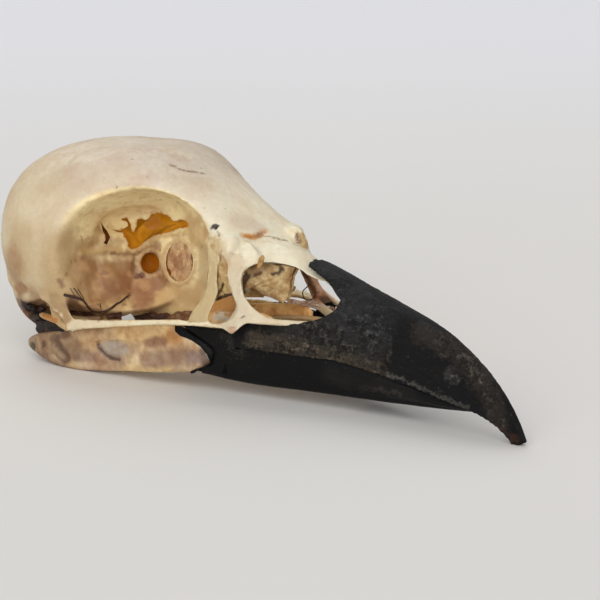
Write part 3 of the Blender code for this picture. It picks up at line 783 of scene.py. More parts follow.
# Skull bone: cranium, upper jaw and cheek bars, which have grown together
skullBone = {
    "voxel": 0.2,
    "rounds": 6,
    # the hinge of the bill across the head: places, and half width and half thickness at each
    "hinge": (
        (37.4, -5.6, 16.8), (37.5, -2.8, 17.6), (37.5, 0.0, 17.85), (37.5, 2.8, 17.6), (37.4, 5.6, 16.8),
    ),
    "hingeSizes": ((1.1, 0.8), (1.1, 0.85), (1.1, 0.85), (1.1, 0.85), (1.1, 0.8)),
    # a ball at the hinge's left end, which is mirrored: centre and radii
    "hingeCorner": ((36.4, 5.7, 16.3), (1.4, 0.8, 1.5)),
    # thin bones of the right side by the pixels of their outline and the y of each corner; all
    # are mirrored but the last, whose mirror image would block an opening
    "slabThickness": 0.8,
    "slabColours": ((200, 173, 132), (231, 220, 189), (218, 205, 178), (197, 175, 131)),
    "slabs": (
        (
            (38, 288, -13.2), (61, 284, -13.0), (61.5, 291.4, -13.3), (64.2, 294, -13.3),
            (66.3, 301, -13.3), (68.9, 309.2, -13.2), (70.6, 314.4, -13.1), (73.6, 318.6, -13.0),
            (82, 320.2, -12.9), (82, 329.2, -12.9), (66.8, 331, -13.0), (64.5, 326, -13.1),
            (61.7, 317, -13.3), (54, 309.3, -13.6), (47.7, 303, -13.8), (41, 299.3, -13.9),
        ),
        (
            (66.8, 324, -12.9), (73.8, 318.8, -12.9), (100, 320.6, -12.7), (130, 320, -12.4),
            (158, 319.6, -11.9), (179, 319.6, -11.0), (193, 321.8, -10.2), (210, 323.6, -9.4),
            (222.4, 325.8, -8.8), (234, 328, -8.9), (232, 334.8, -8.9), (227.5, 331.7, -8.8),
            (222, 328.2, -8.8), (205, 326.8, -9.6), (190, 325.8, -10.4), (175, 325.2, -11.2),
            (158.6, 325, -11.9), (134.4, 326, -12.4), (111.4, 327.2, -12.6), (83.4, 329, -12.9),
            (66.8, 331, -12.9),
        ),
        (
            (226, 252, -5.2), (224.4, 260, -6.0), (226.3, 272.4, -6.4), (228.7, 282, -6.5),
            (232.5, 294.4, -6.8), (236.4, 304, -7.0), (236.8, 309.7, -7.2), (233.5, 316.4, -7.5),
            (227.7, 321, -7.9), (219, 323.4, -8.6), (222, 328, -8.7), (232, 334.8, -8.9),
            (241, 326.4, -8.6), (246, 323, -7.8), (262, 325, -6.8), (280, 326, -5.9), (310, 326, -4.4),
            (310, 321.2, -4.4), (290, 320.2, -5.2), (276.5, 319, -5.9), (267, 316.8, -6.3),
            (257.4, 311.4, -6.6), (250.7, 305.4, -6.8), (246, 299, -6.8), (243, 294.4, -6.8),
            (241.6, 285.8, -6.5), (241.3, 278, -6.3), (243, 272.4, -5.9), (246, 266, -5.4),
            (243, 254, -4.9),
        ),
        (
            (207.5, 236, -5.4), (221, 238, -5.2), (219.4, 251, -6.4), (217.4, 266, -6.8),
            (217, 283, -7.0), (218.4, 292, -7.2), (215.5, 300, -7.6), (211.5, 309, -8.4),
            (208.5, 315, -8.9), (209.5, 323, -9.4), (187.5, 323, -9.6), (191, 313.5, -9.1),
            (196, 307, -8.5), (200.7, 301.5, -8.0), (204.5, 294, -7.4), (207.4, 285, -7.1),
            (208.9, 270, -6.9), (207.4, 252, -6.8), (206.6, 241, -6.6),
        ),
    ),
    # cuts through the right side, which are mirrored: pixels, and the y where they end
    "trims": (
        (
            (243.4, 272.4, -4.8), (247.8, 268, -4.4), (253.6, 264.7, -3.8), (262, 262.2, -3.0),
            (272.7, 262, -2.4), (286, 264.3, -1.2), (295.7, 267, 0.3), (302.4, 270.5, 0.3),
            (307, 274.3, 0.3), (312.9, 277.2, 0.3), (319.6, 280, 0.3), (312, 290, 0.3), (290, 290, 0.3),
            (262, 281, -3.4), (246, 274, -4.8),
        ),
        (
            (314, 279.5, 0.3), (325.3, 281.4, 0.3), (331, 286.2, 0.3), (335.8, 293.6, 0.3),
            (340.6, 300.4, 0.3), (337, 307, 0.3), (325, 301, 0.3), (314, 291, 0.3),
        ),
        (
            (40, 300.4, -11.8), (47.7, 304, -11.8), (54, 310.3, -11.8), (61.7, 318, -11.8),
            (65.8, 324.4, -11.8), (66, 336, -11.8), (50, 336, -11.8), (38, 325, -11.8), (34, 306, -11.8),
        ),
    ),
    "trimStart": -16.0,
    # bodies by their pixels and the y where they begin and end: a cut through the far side's
    # strut, behind the corner of the nostril, and one at the front of the wall between the eyes
    "farTrim": (
        (
            (317, 276), (327.5, 281), (334.5, 290), (342, 299.5), (338.6, 301.2), (331, 295.6),
            (323.5, 289.4), (318.8, 282.6),
        ),
        3.0,
        9.0,
    ),
    "wallEnd": (((243, 297.4), (262, 297.4), (277, 300), (277, 304.5), (243, 304.5)), -1.6, 1.6),
    # a rounded corner that shows behind the bridge, on the left side only
    "farCorner": (
        (
            (284, 236), (287, 228), (292, 225.5), (298, 227), (304, 233), (307.4, 240), (308.4, 246),
            (306.5, 251), (296, 250),
        ),
        3.4,
        5.0,
    ),
    # closes the gap between the wall of the eyes and the braincase
    "backOfWindow": (((150, 238), (168, 238), (170, 286), (152, 288)), -0.9, 0.9),
    # the opening in the floor of the orbit is cut along the camera's rays, from before to behind
    # an upright plane
    "gapPlane": -4.9,
    "gapReach": (-1.0, 14.0),
    # other openings are cut to this share of the bone's thickness at most, which is measured by
    # a ray that starts just below the surface
    "deepest": 0.42,
    "belowSurface": 0.1,
    # the rear rim of the orbit is worn soft: pixels, full width and reach in millimetres, rounds
    "softRim": (((78, 226), (70, 238), (64, 252), (61, 266), (60, 280)), 2.2, 5.0, 160),
    # the whole surface is uneven: height, scale and seed
    "uneven": ((0.05, 0.35, 3), (0.025, 1.5, 4)),
}

# Pixels of the photo that outline what shows in the right orbit
orbitMarks = {
    "hole": (
        (112.2, 229.3), (120.4, 230.8), (125.5, 227.8), (128.2, 225.7), (127.3, 221.5), (122, 219.8),
        (122.2, 218.4), (127.5, 218.4), (130.6, 224.7), (131.6, 231.8), (134.7, 231.8), (137.2, 224.7),
        (137.8, 219.6), (141.8, 218.6), (144.9, 220.6), (149.5, 218), (151, 214.5), (157, 213),
        (164.3, 214.5), (169.4, 217), (172.4, 220.6), (176.5, 221.6), (179.6, 219.6), (185.7, 220.6),
        (188.8, 223.7), (187.8, 227.2), (180.6, 227.8), (172.4, 230.8), (162.2, 233.4), (154, 235.4),
        (148, 239), (141.8, 244), (136.7, 248.2), (131.6, 249.2), (128, 246.6), (128.6, 243),
        (125.5, 238), (123, 232.4), (117.5, 231.8),
    ),
    "crackHole": (
        (101, 221.6), (103, 225.7), (107, 230.8), (110.2, 237), (108.7, 241), (107, 244.6), (103.6, 243),
        (105.6, 240), (105, 235), (102.6, 230.8),
    ),
    "optic": pixelRing((150.2, 263), (9.2, 10.4), 24),
    "window": pixelRing((179.5, 262), (13.6, 19.8), 32),
    "outline": (
        (52, 300), (56, 285), (56, 268), (60, 250), (64, 236), (72, 220), (84, 206), (101, 196), (118, 190),
        (137, 187), (152, 188), (167, 192), (181, 198), (194, 207), (203, 217), (209, 230), (211, 242),
        (211, 300), (196, 320), (66, 320), (66, 306), (60, 296),
    ),
    "ridge": (
        (80.6, 253.3), (90.8, 252.2), (105, 249.4), (113, 250), (127.5, 251.5), (136.7, 250.6),
        (142.5, 247), (149, 242.5), (158, 238), (172.4, 234.4), (186, 233),
    ),
    "gap": (
        (122, 313.5), (127, 312.6), (131, 313.8), (133.5, 317), (135.5, 320.5), (121, 320.5), (120.5, 317),
    ),
}

orbitHoles = (
    # pixels, how far before and behind the surface the cut goes, and the material of its faces
    (orbitMarks["hole"], 2.4, 1.1, "orange"),
    (orbitMarks["crackHole"], 1.0, 0.9, "crack"),
    (orbitMarks["optic"], 0.5, 1.3, "brown"),
    (orbitMarks["window"], 0.6, 0.5, "brown"),
)

boneShape = (
    # height, full width and reach in millimetres, pixels, and True on one side only
    (0.28, 0.0, 0.8, orbitMarks["ridge"]),
    (0.8, 0.2, 3.4, ((111, 281),)),
    (0.5, 0.2, 2.2, ((83, 272),)),
    (0.4, 0.2, 1.9, ((127, 264),)),
    (0.3, 0.1, 1.6, ((73, 284),)),
    (-0.2, 0.0, 0.6, ((134.5, 258), (133, 268), (134, 277), (131, 288))),
    (-0.15, 0.0, 0.5, ((96, 262), (98, 272), (103, 278))),
    (0.16, 0.05, 0.4, pixelRing((179, 262), (16.2, 22), 30)),
    (0.14, 0.05, 0.4, pixelRing((151, 263), (12, 12.8), 24)),
    (0.3, 0.1, 0.9, ((104, 318),)),
    (-0.3, 0.1, 0.8, ((245, 236), (251, 238), (258, 237), (264, 233)), True),
    (0.14, 0.05, 0.6, ((243, 242), (256, 244), (270, 244), (284, 247)), True),
    (-0.4, 0.05, 0.45, ((296.8, 235), (298, 239), (299.4, 243)), True),
    (-0.1, 0.0, 0.3, ((267, 237), (274, 238), (281, 239.4), (288, 241)), True),
    (-0.1, 0.0, 0.3, ((171, 165), (178, 168), (185, 171), (194, 172), (204, 174)), True),
    (-0.25, 0.1, 0.5, ((214.8, 227.4),), True),
    (0.16, 0.05, 0.35, ((49, 305), (55, 310), (61, 316))),
    (-0.2, 0.2, 1.2, ((24, 287), (18, 292))),
)

boneMarks = (
    # colour, strength, full width and reach in millimetres, pixels, and True on one side only
    ((186, 158, 114), 0.8, 1.2, 4.5, ((62, 250), (60, 270), (62, 290))),
    ((206, 176, 124), 0.8, 0.1, 0.55, orbitMarks["ridge"]),
    # painted shadow under the ridge in the orbit
    ((132, 92, 62), 0.7, 0.05, 0.45, ((112, 253.5), (124, 254.5), (134, 254), (139, 252))),
    ((214, 184, 134), 0.85, 0.12, 0.4, pixelRing((179, 262), (16.4, 22.4), 30)),
    ((206, 172, 124), 0.7, 0.1, 0.4, pixelRing((151, 263), (12.4, 13.2), 24)),
    ((216, 184, 132), 0.7, 0.0, 0.3, (*orbitMarks["hole"], orbitMarks["hole"][0])),
    ((104, 52, 26), 0.9, 0.3, 0.6, ((136.9, 276),)),
    ((104, 52, 26), 0.9, 0.25, 0.55, ((141.8, 275.5),)),
    ((128, 86, 58), 0.8, 0.05, 0.4, ((134.5, 258), (133, 268), (134, 275))),
    ((136, 92, 62), 0.8, 0.1, 0.45, ((66.3, 274.7),)),
    ((118, 74, 46), 0.7, 0.1, 0.6, ((59.7, 281), (62, 286))),
    ((130, 96, 58), 0.8, 0.08, 0.3, ((75.5, 260.4),)),
    ((132, 90, 60), 0.7, 0.1, 0.5, ((102, 272.6), (106, 273.4))),
    ((120, 76, 46), 0.8, 0.05, 0.3, ((159.7, 250),)),
    ((140, 92, 54), 0.8, 0.0, 0.25, ((80.6, 236), (82.7, 241))),
    ((132, 82, 44), 0.8, 0.0, 0.25, ((112.2, 229.5), (107.5, 227))),
    ((150, 108, 72), 0.6, 0.0, 0.3, ((163.5, 268), (167, 277), (165.3, 282), (162.2, 287))),
    ((96, 56, 34), 0.9, 0.1, 0.5, ((129, 294.6),)),
    ((112, 68, 42), 0.8, 0.05, 0.35, ((128, 296), (125, 302), (123.5, 306))),
    ((116, 74, 50), 0.7, 0.1, 0.45, ((134.5, 306),)),
    ((156, 112, 74), 0.6, 0.0, 0.35, ((121, 286), (124, 292), (119, 298))),
    # painted shade low in the orbit, where the blade's shadow falls
    ((96, 62, 40), 0.85, 0.6, 1.5, ((72, 303), (80, 311), (92, 317))),
    ((92, 44, 28), 0.9, 0.5, 1.0, ((109, 317), (116, 314.5))),
    ((214, 184, 120), 0.95, 0.4, 0.75, ((101, 318), (106, 318.5))),
    # the dark strip under the orbit: brown tissue with painted shade in the gap
    ((78, 50, 34), 0.95, 0.35, 0.8, ((138, 315.5), (150, 316.5), (160, 317.5))),
    ((112, 76, 50), 0.9, 0.3, 0.7, ((163, 317.5), (176, 317.5), (188, 314.5))),
    ((210, 152, 84), 0.9, 0.9, 1.8, ((214, 306), (224, 304), (232, 303))),
    # painted light: a pale glow at the foot of the opening
    ((232, 222, 208), 0.95, 0.35, 0.9, ((216, 317), (223, 316), (229, 318))),
    ((196, 170, 126), 0.7, 0.5, 1.6, ((205, 250), (206, 280), (200, 300))),
    ((208, 184, 140), 0.6, 0.4, 1.2, ((217, 240), (222, 250), (224, 262))),
    ((214, 172, 114), 0.8, 0.2, 0.7, ((243, 235), (251, 236.6), (259, 235.6), (265, 230.5)), True),
    ((184, 120, 52), 0.95, 0.1, 0.42, ((245, 236), (251, 237), (258, 236.2), (264, 232.4)), True),
    ((146, 88, 38), 0.9, 0.08, 0.34, ((257, 235.4), (262.5, 232.6)), True),
    ((232, 214, 176), 0.8, 0.05, 0.5, ((243, 240.5), (256, 242.5), (268, 241)), True),
    ((132, 100, 64), 0.85, 0.08, 0.32, ((266, 236.4), (274, 238), (281, 239.6), (287, 241)), True),
    ((206, 182, 160), 0.5, 0.6, 2.4, ((240, 222), (256, 226)), True),
    # painted shade in the slit of the far corner
    ((112, 76, 44), 0.95, 0.12, 0.4, ((296.8, 235), (298, 239), (299.4, 243.4)), True),
    ((190, 160, 100), 0.8, 0.3, 0.8, ((301, 238), (303, 243), (304, 247)), True),
    ((136, 104, 66), 0.8, 0.05, 0.4, ((303, 233.5), (306, 240), (306.6, 248)), True),
    # painted shade along the edge where the far corner meets the bridge
    ((150, 118, 82), 0.7, 0.0, 0.3, ((294, 243.6), (299, 247.4), (305, 250.6)), True),
    # painted shade in a small hole
    ((42, 24, 14), 0.97, 0.3, 0.5, ((213.6, 227), (216.4, 227.6)), True),
    ((110, 84, 58), 0.8, 0.03, 0.25, ((218.5, 231.4), (220.4, 236)), True),
    ((126, 98, 78), 0.8, 0.06, 0.3, ((171, 165), (178, 168), (185, 171), (194, 172), (204, 174)), True),
    ((150, 104, 56), 0.85, 0.35, 1.3, ((24, 286), (19, 290), (14, 297))),
    ((186, 152, 108), 0.6, 0.5, 1.8, ((33, 291), (38, 298))),
    ((190, 164, 122), 0.6, 1.0, 4.0, ((20, 240), (22, 262))),
    ((170, 134, 92), 0.8, 0.8, 3.2, ((14, 260), (13, 275))),
    ((168, 140, 102), 0.8, 0.4, 1.3, ((54, 299), (60, 308), (65, 318))),
    ((164, 124, 74), 0.7, 0.4, 1.6, ((84, 247), (94, 240), (98, 232))),
    # painted shade: dark brown inside the ear hollow
    ((112, 76, 50), 0.9, 1.2, 2.6, ((27, 308), (36, 314), (46, 322))),
    ((26, 17, 13), 0.97, 0.5, 1.0, ((25.5, 305), (30.5, 308.5), (36.5, 309), (41, 307.5))),
    ((40, 22, 15), 0.9, 0.4, 1.0, ((34, 317), (40, 323), (47, 329))),
    ((112, 72, 50), 0.9, 0.2, 0.6, ((24, 312), (31, 321), (38, 328))),
    # painted shade: brown inside the ear hollow
    ((104, 76, 48), 0.9, 0.5, 0.9, ((45.5, 307.5), (52, 312.5), (58, 316.5))),
    ((224, 208, 174), 0.9, 0.1, 0.35, ((49, 305), (55, 310), (61, 316))),
    ((190, 146, 120), 0.8, 0.2, 0.9, ((231.5, 329), (233, 333))),
    ((96, 78, 58), 0.8, 0.05, 0.25, ((241.5, 317.5), (243.6, 316.5))),
)

# the far side's strut, which shows through the nostril
nostrilMarks = (
    ((186, 138, 100), 0.95, 0.8, 1.5, ((308, 276), (314, 285), (318, 294), (327, 302), (335, 306)), True),
    ((104, 64, 40), 0.95, 0.2, 0.6, ((304, 273), (309, 280), (313.5, 288), (315, 297)), True),
    ((150, 88, 66), 0.8, 0.2, 0.7, ((317, 297), (323, 303), (331, 307)), True),
    ((214, 176, 150), 0.8, 0.15, 0.5, ((319, 287), (325, 294), (334, 301)), True),
    ((214, 180, 124), 0.8, 0.4, 1.0, ((247, 293), (256, 295), (264, 297)), True),
)

orbitPatches = (
    # colour, strength, softness in pixels and the outline
    (
        (148, 107, 70), 0.9, 9.0,
        (
            (60, 268), (76, 250), (96, 256), (118, 247), (134, 255), (146, 244), (160, 244), (166, 252),
            (163, 262), (165, 275), (168, 284), (158, 297), (144, 301), (130, 299), (122, 305),
            (108, 312), (90, 313), (76, 304), (62, 292), (56, 278),
        ),
    ),
    ((168, 124, 92), 0.7, 6.0, ((122, 268), (146, 280), (164, 286), (152, 298), (134, 300), (122, 290))),
    (
        (208, 176, 124), 0.8, 6.0,
        ((172, 288), (202, 280), (206, 292), (196, 308), (176, 312), (150, 310), (150, 300)),
    ),
    # painted shade low in the orbit, where the blade's shadow falls
    ((150, 104, 74), 0.7, 4.0, ((60, 300), (74, 302), (88, 311), (104, 313), (104, 322), (60, 322))),
    ((196, 162, 112), 0.8, 7.0, ((188, 206), (202, 214), (211, 232), (211, 256), (198, 250), (190, 226))),
)

# where the horn runs out over the ridge of the bill
underHorn = ((306, 255), (312, 252), (324, 262), (321, 271), (314.4, 268), (310.4, 262))

boneSpecks = (
    (148, 177), (116, 187), (157, 192), (158, 193.6), (160.7, 199.7), (177.6, 202.2), (186.7, 201.7),
    (205, 208.4), (201, 168), (64, 155), (202, 247), (71, 262), (132, 159), (226, 209),
)


# the outline of the braincase's darker top
crown = (
    (30, 195), (50, 165), (90, 145), (150, 135), (215, 150), (222, 178), (190, 186), (140, 178), (95, 184),
)

boneColours = {
    "base": (228, 216, 192),
    "low": (206, 188, 150),
    "back": (200, 178, 140),
    "crown": (206, 192, 173),
    "crownClouds": (206, 184, 168),
    "forehead": (236, 229, 203),
    "nape": (206, 186, 148),
    "underside": (150, 116, 82),
    # the orbit colours are painted brighter than the outer bone: painted light in the hollow, on the bone's
    # own tan
    "orbit": (250, 234, 184),
    "orbitRoof": (252, 238, 190),
    "orbitFloor": (208, 174, 122),
    "orbitClouds": (206, 170, 126),
    "wallDark": (146, 102, 72),
    "wallPale": (206, 168, 122),
    "noseWall": (190, 150, 84),
    "underHorn": (20, 19, 20),
    "specks": (104, 82, 58),
    "holeEdge": (188, 126, 40),
}


def pixelCutter(tree, pixels, before, behind):
    # a body that goes into the bone under a closed line of pixels, along the camera's rays, but
    # never as far as the middle of the bone
    rings = [[], []]
    for px, py in pixels:
        hit = castOn(tree, px, py)[0]
        ray = pixelRay(px, py)[1]
        through = tree.ray_cast(toRow(hit + ray * skullBone["belowSurface"]), ray)
        depth = behind
        if through[0] is not None:
            depth = min(behind, skullBone["deepest"] * (toSkull(through[0]) - hit).length)
        rings[0].append(hit - ray * before)
        rings[1].append(hit + ray * depth)
    return skinRings(rings)


def skullCutters(tree):
    # bodies that are cut out of the skull bone, each with the material of its cut faces
    cutters = []
    for pixels, before, behind, material in orbitHoles:
        cutters += cuttersOf(bothSides([pixelCutter(tree, pixels, before, behind)]), material)
    gap = []
    for along in skullBone["gapReach"]:
        pixels = orbitMarks["gap"]
        gap.append([onPlane(*p, skullBone["gapPlane"]) + pixelRay(*p)[1] * along for p in pixels])
    cutters += cuttersOf([skinRings(gap)], "brown")
    for rows in skullBone["trims"]:
        trim = prism([(px, py, skullBone["trimStart"], last) for px, py, last in rows])
        cutters += cuttersOf(bothSides([trim]), "bone")
    return cutters + cuttersOf([upright(*skullBone[key]) for key in ("wallEnd", "farTrim")], "bone")


def softenRim(piece):
    pixels, full, reach, rounds = skullBone["softRim"]
    path = castPath(treeOf(piece), pixels)
    softened = piece.vertex_groups.new(name="softened")
    for index, share in enumerate(nearPath(folded(pointsOf(piece)), path, full, reach)):
        if share > 0.01:
            softened.add([index], share, "REPLACE")
    soften = piece.modifiers.new("soften", "SMOOTH")
    soften.vertex_group = "softened"
    soften.iterations = rounds
    applyModifiers(piece)
    piece.vertex_groups.clear()


def makeSkullBone():
    # gives the piece, and the tree of its surface before anything is cut out of it
    slabs = [slab(rows, skullBone["slabThickness"]) for rows in skullBone["slabs"]]
    hinge = tube(skullBone["hinge"], skullBone["hingeSizes"], 14, 4, flat=(0.0, 0.0, 1.0))
    single = [hinge, upright(*skullBone["backOfWindow"]), upright(*skullBone["farCorner"]), slabs[-1]]
    pairs = [ball(*skullBone["hingeCorner"]), *slabs[:-1]]
    names = ("cranium", "upper_jaw", "jugal_bar_right", "jugal_bar_left")
    added = single + bothSides(pairs)
    piece = refine(copyOfNodes(names), skullBone["voxel"], skullBone["rounds"], 1, added)
    softenRim(piece)
    raiseAlong(piece, boneShape)
    points = pointsOf(piece)
    uneven = sum(height * roughness(points, scale, seed) for height, scale, seed in skullBone["uneven"])
    setPoints(piece, points + normalsOf(piece) * uneven[:, None])
    tree = treeOf(piece)
    piece.data.materials.append(materials["bone"])
    cutAway(piece, skullCutters(tree))
    return piece, tree


def paintHead(coat):
    # the broad tones of the braincase and of the bone of the bill
    x, z = coat.points[:, 0], coat.points[:, 2]
    clouds = roughness(coat.points, 0.22, 7)
    coat.lay(boneColours["low"], 0.9 * smoothStep(z + 3 * clouds, 21.0, 9.0))
    coat.lay(boneColours["back"], 0.8 * smoothStep(x + 2 * clouds, 7.0, -3.0))
    coat.lay(boneColours["crown"], 0.9 * coat.within(crown, 24.0, 10.0))
    coat.lay(boneColours["crownClouds"], 0.6 * smoothStep(clouds, 0.05, 0.5) * smoothStep(z, 22.0, 26.0))
    # painted light: the forehead and bridge are painted lighter, as where they face the light
    coat.lay(boneColours["forehead"], 0.9 * smoothStep(x, 29.0, 36.0) * smoothStep(z, 10.0, 13.0))
    coat.lay(boneColours["nape"], 0.55 * smoothStep(coat.px + 12 * clouds, 120.0, 30.0))
    # painted shade: surfaces low on the head that face down are darker
    under = smoothStep(-coat.normals[:, 2], 0.1, 0.8) * smoothStep(z, 12.0, 8.0)
    coat.lay(boneColours["underside"], 0.7 * under)


def orbitShare(coat):
    # how far each point belongs to the inside of an orbit, 0 to 1
    x, aside, z = coat.points[:, 0], np.abs(coat.points[:, 1]), coat.points[:, 2]
    reach = np.column_stack([x, aside, z]) - np.array(skull["orbitCentre"])
    away = np.linalg.norm(reach / np.array(skull["orbitRadii"]), axis=1)
    hollow = 1.0 - smoothStep(away, 1.03, 1.04 + 0.1 * smoothStep(x, 24.0, 15.0))
    hollow *= smoothStep(x, 35.5, 34.2)
    seen = coat.within(orbitMarks["outline"], 2.0) * smoothStep(coat.px, 54.0, 84.0)
    hollow *= smoothStep(coat.px, 50.0, 80.0)
    hollow = np.maximum(hollow, seen * smoothStep(aside, 13.5, 12.5))
    low = smoothStep(aside, 12.5, 9.0) * smoothStep(away, 1.4, 1.1) * smoothStep(z, 12.0, 8.0)
    return np.maximum(hollow, low)


def paintOrbit(coat):
    points, z = coat.points, coat.points[:, 2]
    orbit = orbitShare(coat)
    roof = smoothStep(-coat.normals[:, 2], 0.2, 0.7)
    # painted light: the orbit is painted brighter than the outer bone against the shade in its hollow, and
    # the roof that faces down brighter still; the tan hue is the bone's own
    coat.lay(boneColours["orbit"], orbit)
    coat.lay(boneColours["orbitRoof"], orbit * roof * smoothStep(z, 16.0, 18.0))
    coat.lay(boneColours["orbitFloor"], orbit * 0.7 * smoothStep(z, 13.5, 8.0))
    coat.lay(boneColours["orbitClouds"], orbit * 0.35 * smoothStep(roughness(points, 0.9, 8), 0.0, 0.6))
    for colour, strength, soft, pixels in orbitPatches:
        coat.lay(colour, strength * coat.within(pixels, soft, 14.0) * orbit)
    wall = coat.within(orbitPatches[0][3], 7.0, 14.0) * orbit
    coat.lay(boneColours["wallDark"], wall * 0.7 * smoothStep(roughness(points, 0.4, 12), -0.15, 0.7))
    coat.lay(boneColours["wallPale"], wall * 0.6 * smoothStep(roughness(points, 0.5, 13), -0.1, 0.7))


def paintThinBones(coat):
    # the slabs at the sides, and the wall in the middle of the nose
    aside = np.abs(coat.points[:, 1])
    outside = smoothStep(aside, 5.2, 5.8)
    for rows, colour in zip(skullBone["slabs"], skullBone["slabColours"]):
        pixels = [(px, py) for px, py, y in rows]
        coat.lay(colour, 0.95 * coat.within(pixels, 1.2) * outside)
    middle = smoothStep(aside, 2.4, 1.6) * smoothStep(coat.points[:, 0], 33.0, 34.0)
    coat.lay(boneColours["noseWall"], middle * smoothStep(coat.points[:, 2], 14.5, 13.0))


def paintSkullBone(piece, tree):
    coat = Coat(piece, boneColours["base"])
    coat.tree = tree
    paintHead(coat)
    paintOrbit(coat)
    paintThinBones(coat)
    coat.marks(boneMarks)
    coat.lay(boneColours["underHorn"], coat.within(underHorn, 0.8))
    coat.tree = treeOf(piece)
    coat.marks(nostrilMarks)
    coat.tree = tree
    for spot in boneSpecks:
        coat.lay(boneColours["specks"], 0.85 * coat.near((spot,), 0.05, 0.24, True))
    # painted light: the orange of light through the thin wall, on the sides of the hole
    inward = smoothStep(np.abs(coat.points[:, 1]), 12.0, 11.0)
    coat.lay(boneColours["holeEdge"], coat.within(orbitMarks["hole"], 0.7) * inward)
    coat.store(None)
    dress(piece, "skull_bone", "bone", "cranium", "upper_jaw", "jugal_bar_right", "jugal_bar_left")


skullPiece, skullTree = makeSkullBone()
paintSkullBone(skullPiece, skullTree)
print("skull bone has", len(skullPiece.data.vertices), "points")


# Smaller bones, rounded from their CAD shapes, on both sides
hingeBone = {
    "voxel": 0.12,
    "rounds": 3,
    # the arm that reaches to the cheek bar: pixels and y, and half thickness at each
    "arm": ((41, 314.5, -10.4), (45, 316, -10.9), (52, 318.6, -11.6), (60, 321.8, -12.2), (68, 327, -12.7)),
    "armSizes": (0.3, 0.44, 0.46, 0.5, 0.6),
    "colour": (206, 178, 130),
    "inside": (120, 84, 58),
    "armColour": (190, 124, 52),
    "armLine": ((43, 315.5), (50, 318), (56, 320.5)),
}
palateBone = {"voxel": 0.1, "rounds": 2, "colour": (196, 166, 120), "clouds": (160, 122, 84)}


def makeHingeBone(word):
    arm = tube([onPlane(*place) for place in hingeBone["arm"]], hingeBone["armSizes"], 12, 5)
    arm = arm if word == "right" else otherSide(arm)
    name = f"quadrate_{word}"
    piece = refine(copyOfNodes((name,)), hingeBone["voxel"], hingeBone["rounds"], 1, [arm])
    coat = Coat(piece, hingeBone["colour"], 5)
    coat.lay(hingeBone["inside"], 0.8 * smoothStep(np.abs(coat.points[:, 1]), 10.4, 9.6))
    coat.lay(hingeBone["armColour"], 0.95 * coat.near(hingeBone["armLine"], 0.22, 0.5))
    coat.store("bone")
    dress(piece, f"hinge_bone_{word}", "bone", name)


def makePalateBone(key, word):
    name = f"{key}_{word}"
    piece = refine(copyOfNodes((name,)), palateBone["voxel"], palateBone["rounds"])
    coat = Coat(piece, palateBone["colour"], 6)
    coat.lay(palateBone["clouds"], 0.7 * smoothStep(roughness(coat.points, 0.7, 3), 0.0, 0.5))
    coat.store("bone")
    dress(piece, f"{key}_bone_{word}", "bone", name)


for word in ("right", "left"):
    makeHingeBone(word)
    makePalateBone("pterygoid", word)
    makePalateBone("palatine", word)
print("small bones ready")

# Lower jaw
jawShape = (
    (-0.25, 0.05, 0.7, ((56, 342), (59, 346), (62.5, 352), (67.6, 358.3))),
    (-0.3, 0.2, 0.7, ((33.2, 346.2),)),
    (-0.2, 0.1, 0.5, ((44, 344.3),)),
    (0.15, 0.05, 0.45, ((38, 339), (39, 344), (39.6, 350))),
    (0.15, 0.1, 0.7, ((49, 342), (56, 351), (64, 358))),
    (-0.22, 0.1, 0.5, ((98.4, 344), (100, 349), (104.4, 353.4), (110, 356.8), (118, 358))),
    (-0.12, 0.1, 0.9, ((150, 342), (163, 340.5))),
    (0.12, 0.2, 1.2, ((135, 366), (160, 366), (190, 364))),
)
jawMarks = (
    ((240, 214, 156), 0.9, 1.0, 2.2, ((124, 331), (150, 331), (172, 330))),
    ((206, 156, 92), 0.8, 0.4, 1.5, ((171, 336), (176, 337))),
    ((236, 212, 158), 0.85, 0.3, 1.1, ((112, 370), (140, 370.6), (168, 370.4))),
    ((152, 110, 86), 0.8, 0.25, 1.0, ((148, 343), (156, 341.5), (164, 341))),
    ((150, 122, 102), 0.75, 0.5, 1.7, ((146, 361), (165, 358), (185, 356), (203, 358))),
    ((148, 128, 120), 0.8, 0.3, 1.2, ((190, 357), (204, 359))),
    ((112, 94, 80), 0.85, 0.25, 0.9, ((203, 351), (207, 357), (206, 363))),
    ((150, 120, 102), 0.6, 0.5, 1.6, ((78, 356), (98, 360.5), (118, 362))),
    ((206, 180, 148), 0.8, 0.4, 1.1, ((84, 366), (100, 368), (116, 369))),
    ((196, 164, 116), 0.6, 0.8, 2.4, ((70, 338), (85, 338), (100, 334))),
    ((140, 114, 86), 0.8, 0.8, 2.2, ((70, 344), (74, 350))),
    ((112, 86, 64), 0.85, 0.6, 1.5, ((57, 345), (61, 351), (65, 357))),
    ((104, 78, 58), 0.85, 0.1, 0.6, ((56, 342), (59, 346), (62.5, 352), (67.6, 358.3))),
    ((86, 58, 42), 0.8, 0.05, 0.35, ((61.9, 351.3),)),
    ((92, 82, 66), 0.95, 0.35, 0.7, ((33.2, 344.8), (33.2, 347.4))),
    ((106, 82, 58), 0.9, 0.2, 0.5, ((44, 343.4), (44.2, 345.4))),
    ((190, 170, 130), 0.8, 0.1, 0.5, ((37, 339), (38.6, 344), (39.6, 350))),
    ((176, 152, 118), 0.6, 0.1, 0.6, ((49, 342), (55, 350), (62, 357))),
    ((66, 44, 30), 0.95, 0.35, 0.95, ((60, 369), (66.3, 370.2), (71, 370.6))),
    ((122, 92, 74), 0.7, 0.15, 0.7, ((77.8, 357.7),)),
    ((100, 72, 52), 0.8, 0.2, 0.8, ((52, 337.5), (62, 335.5), (68, 333.5))),
)
# a dark line along the lower-left rim of the jaw's window
jawWindowDarkRim = (
    (82, 60, 46), 0.95, 0.08, 0.35,
    ((98.2, 344), (99.5, 348.5), (104, 353.4), (110, 357.6), (120, 359.6)),
)

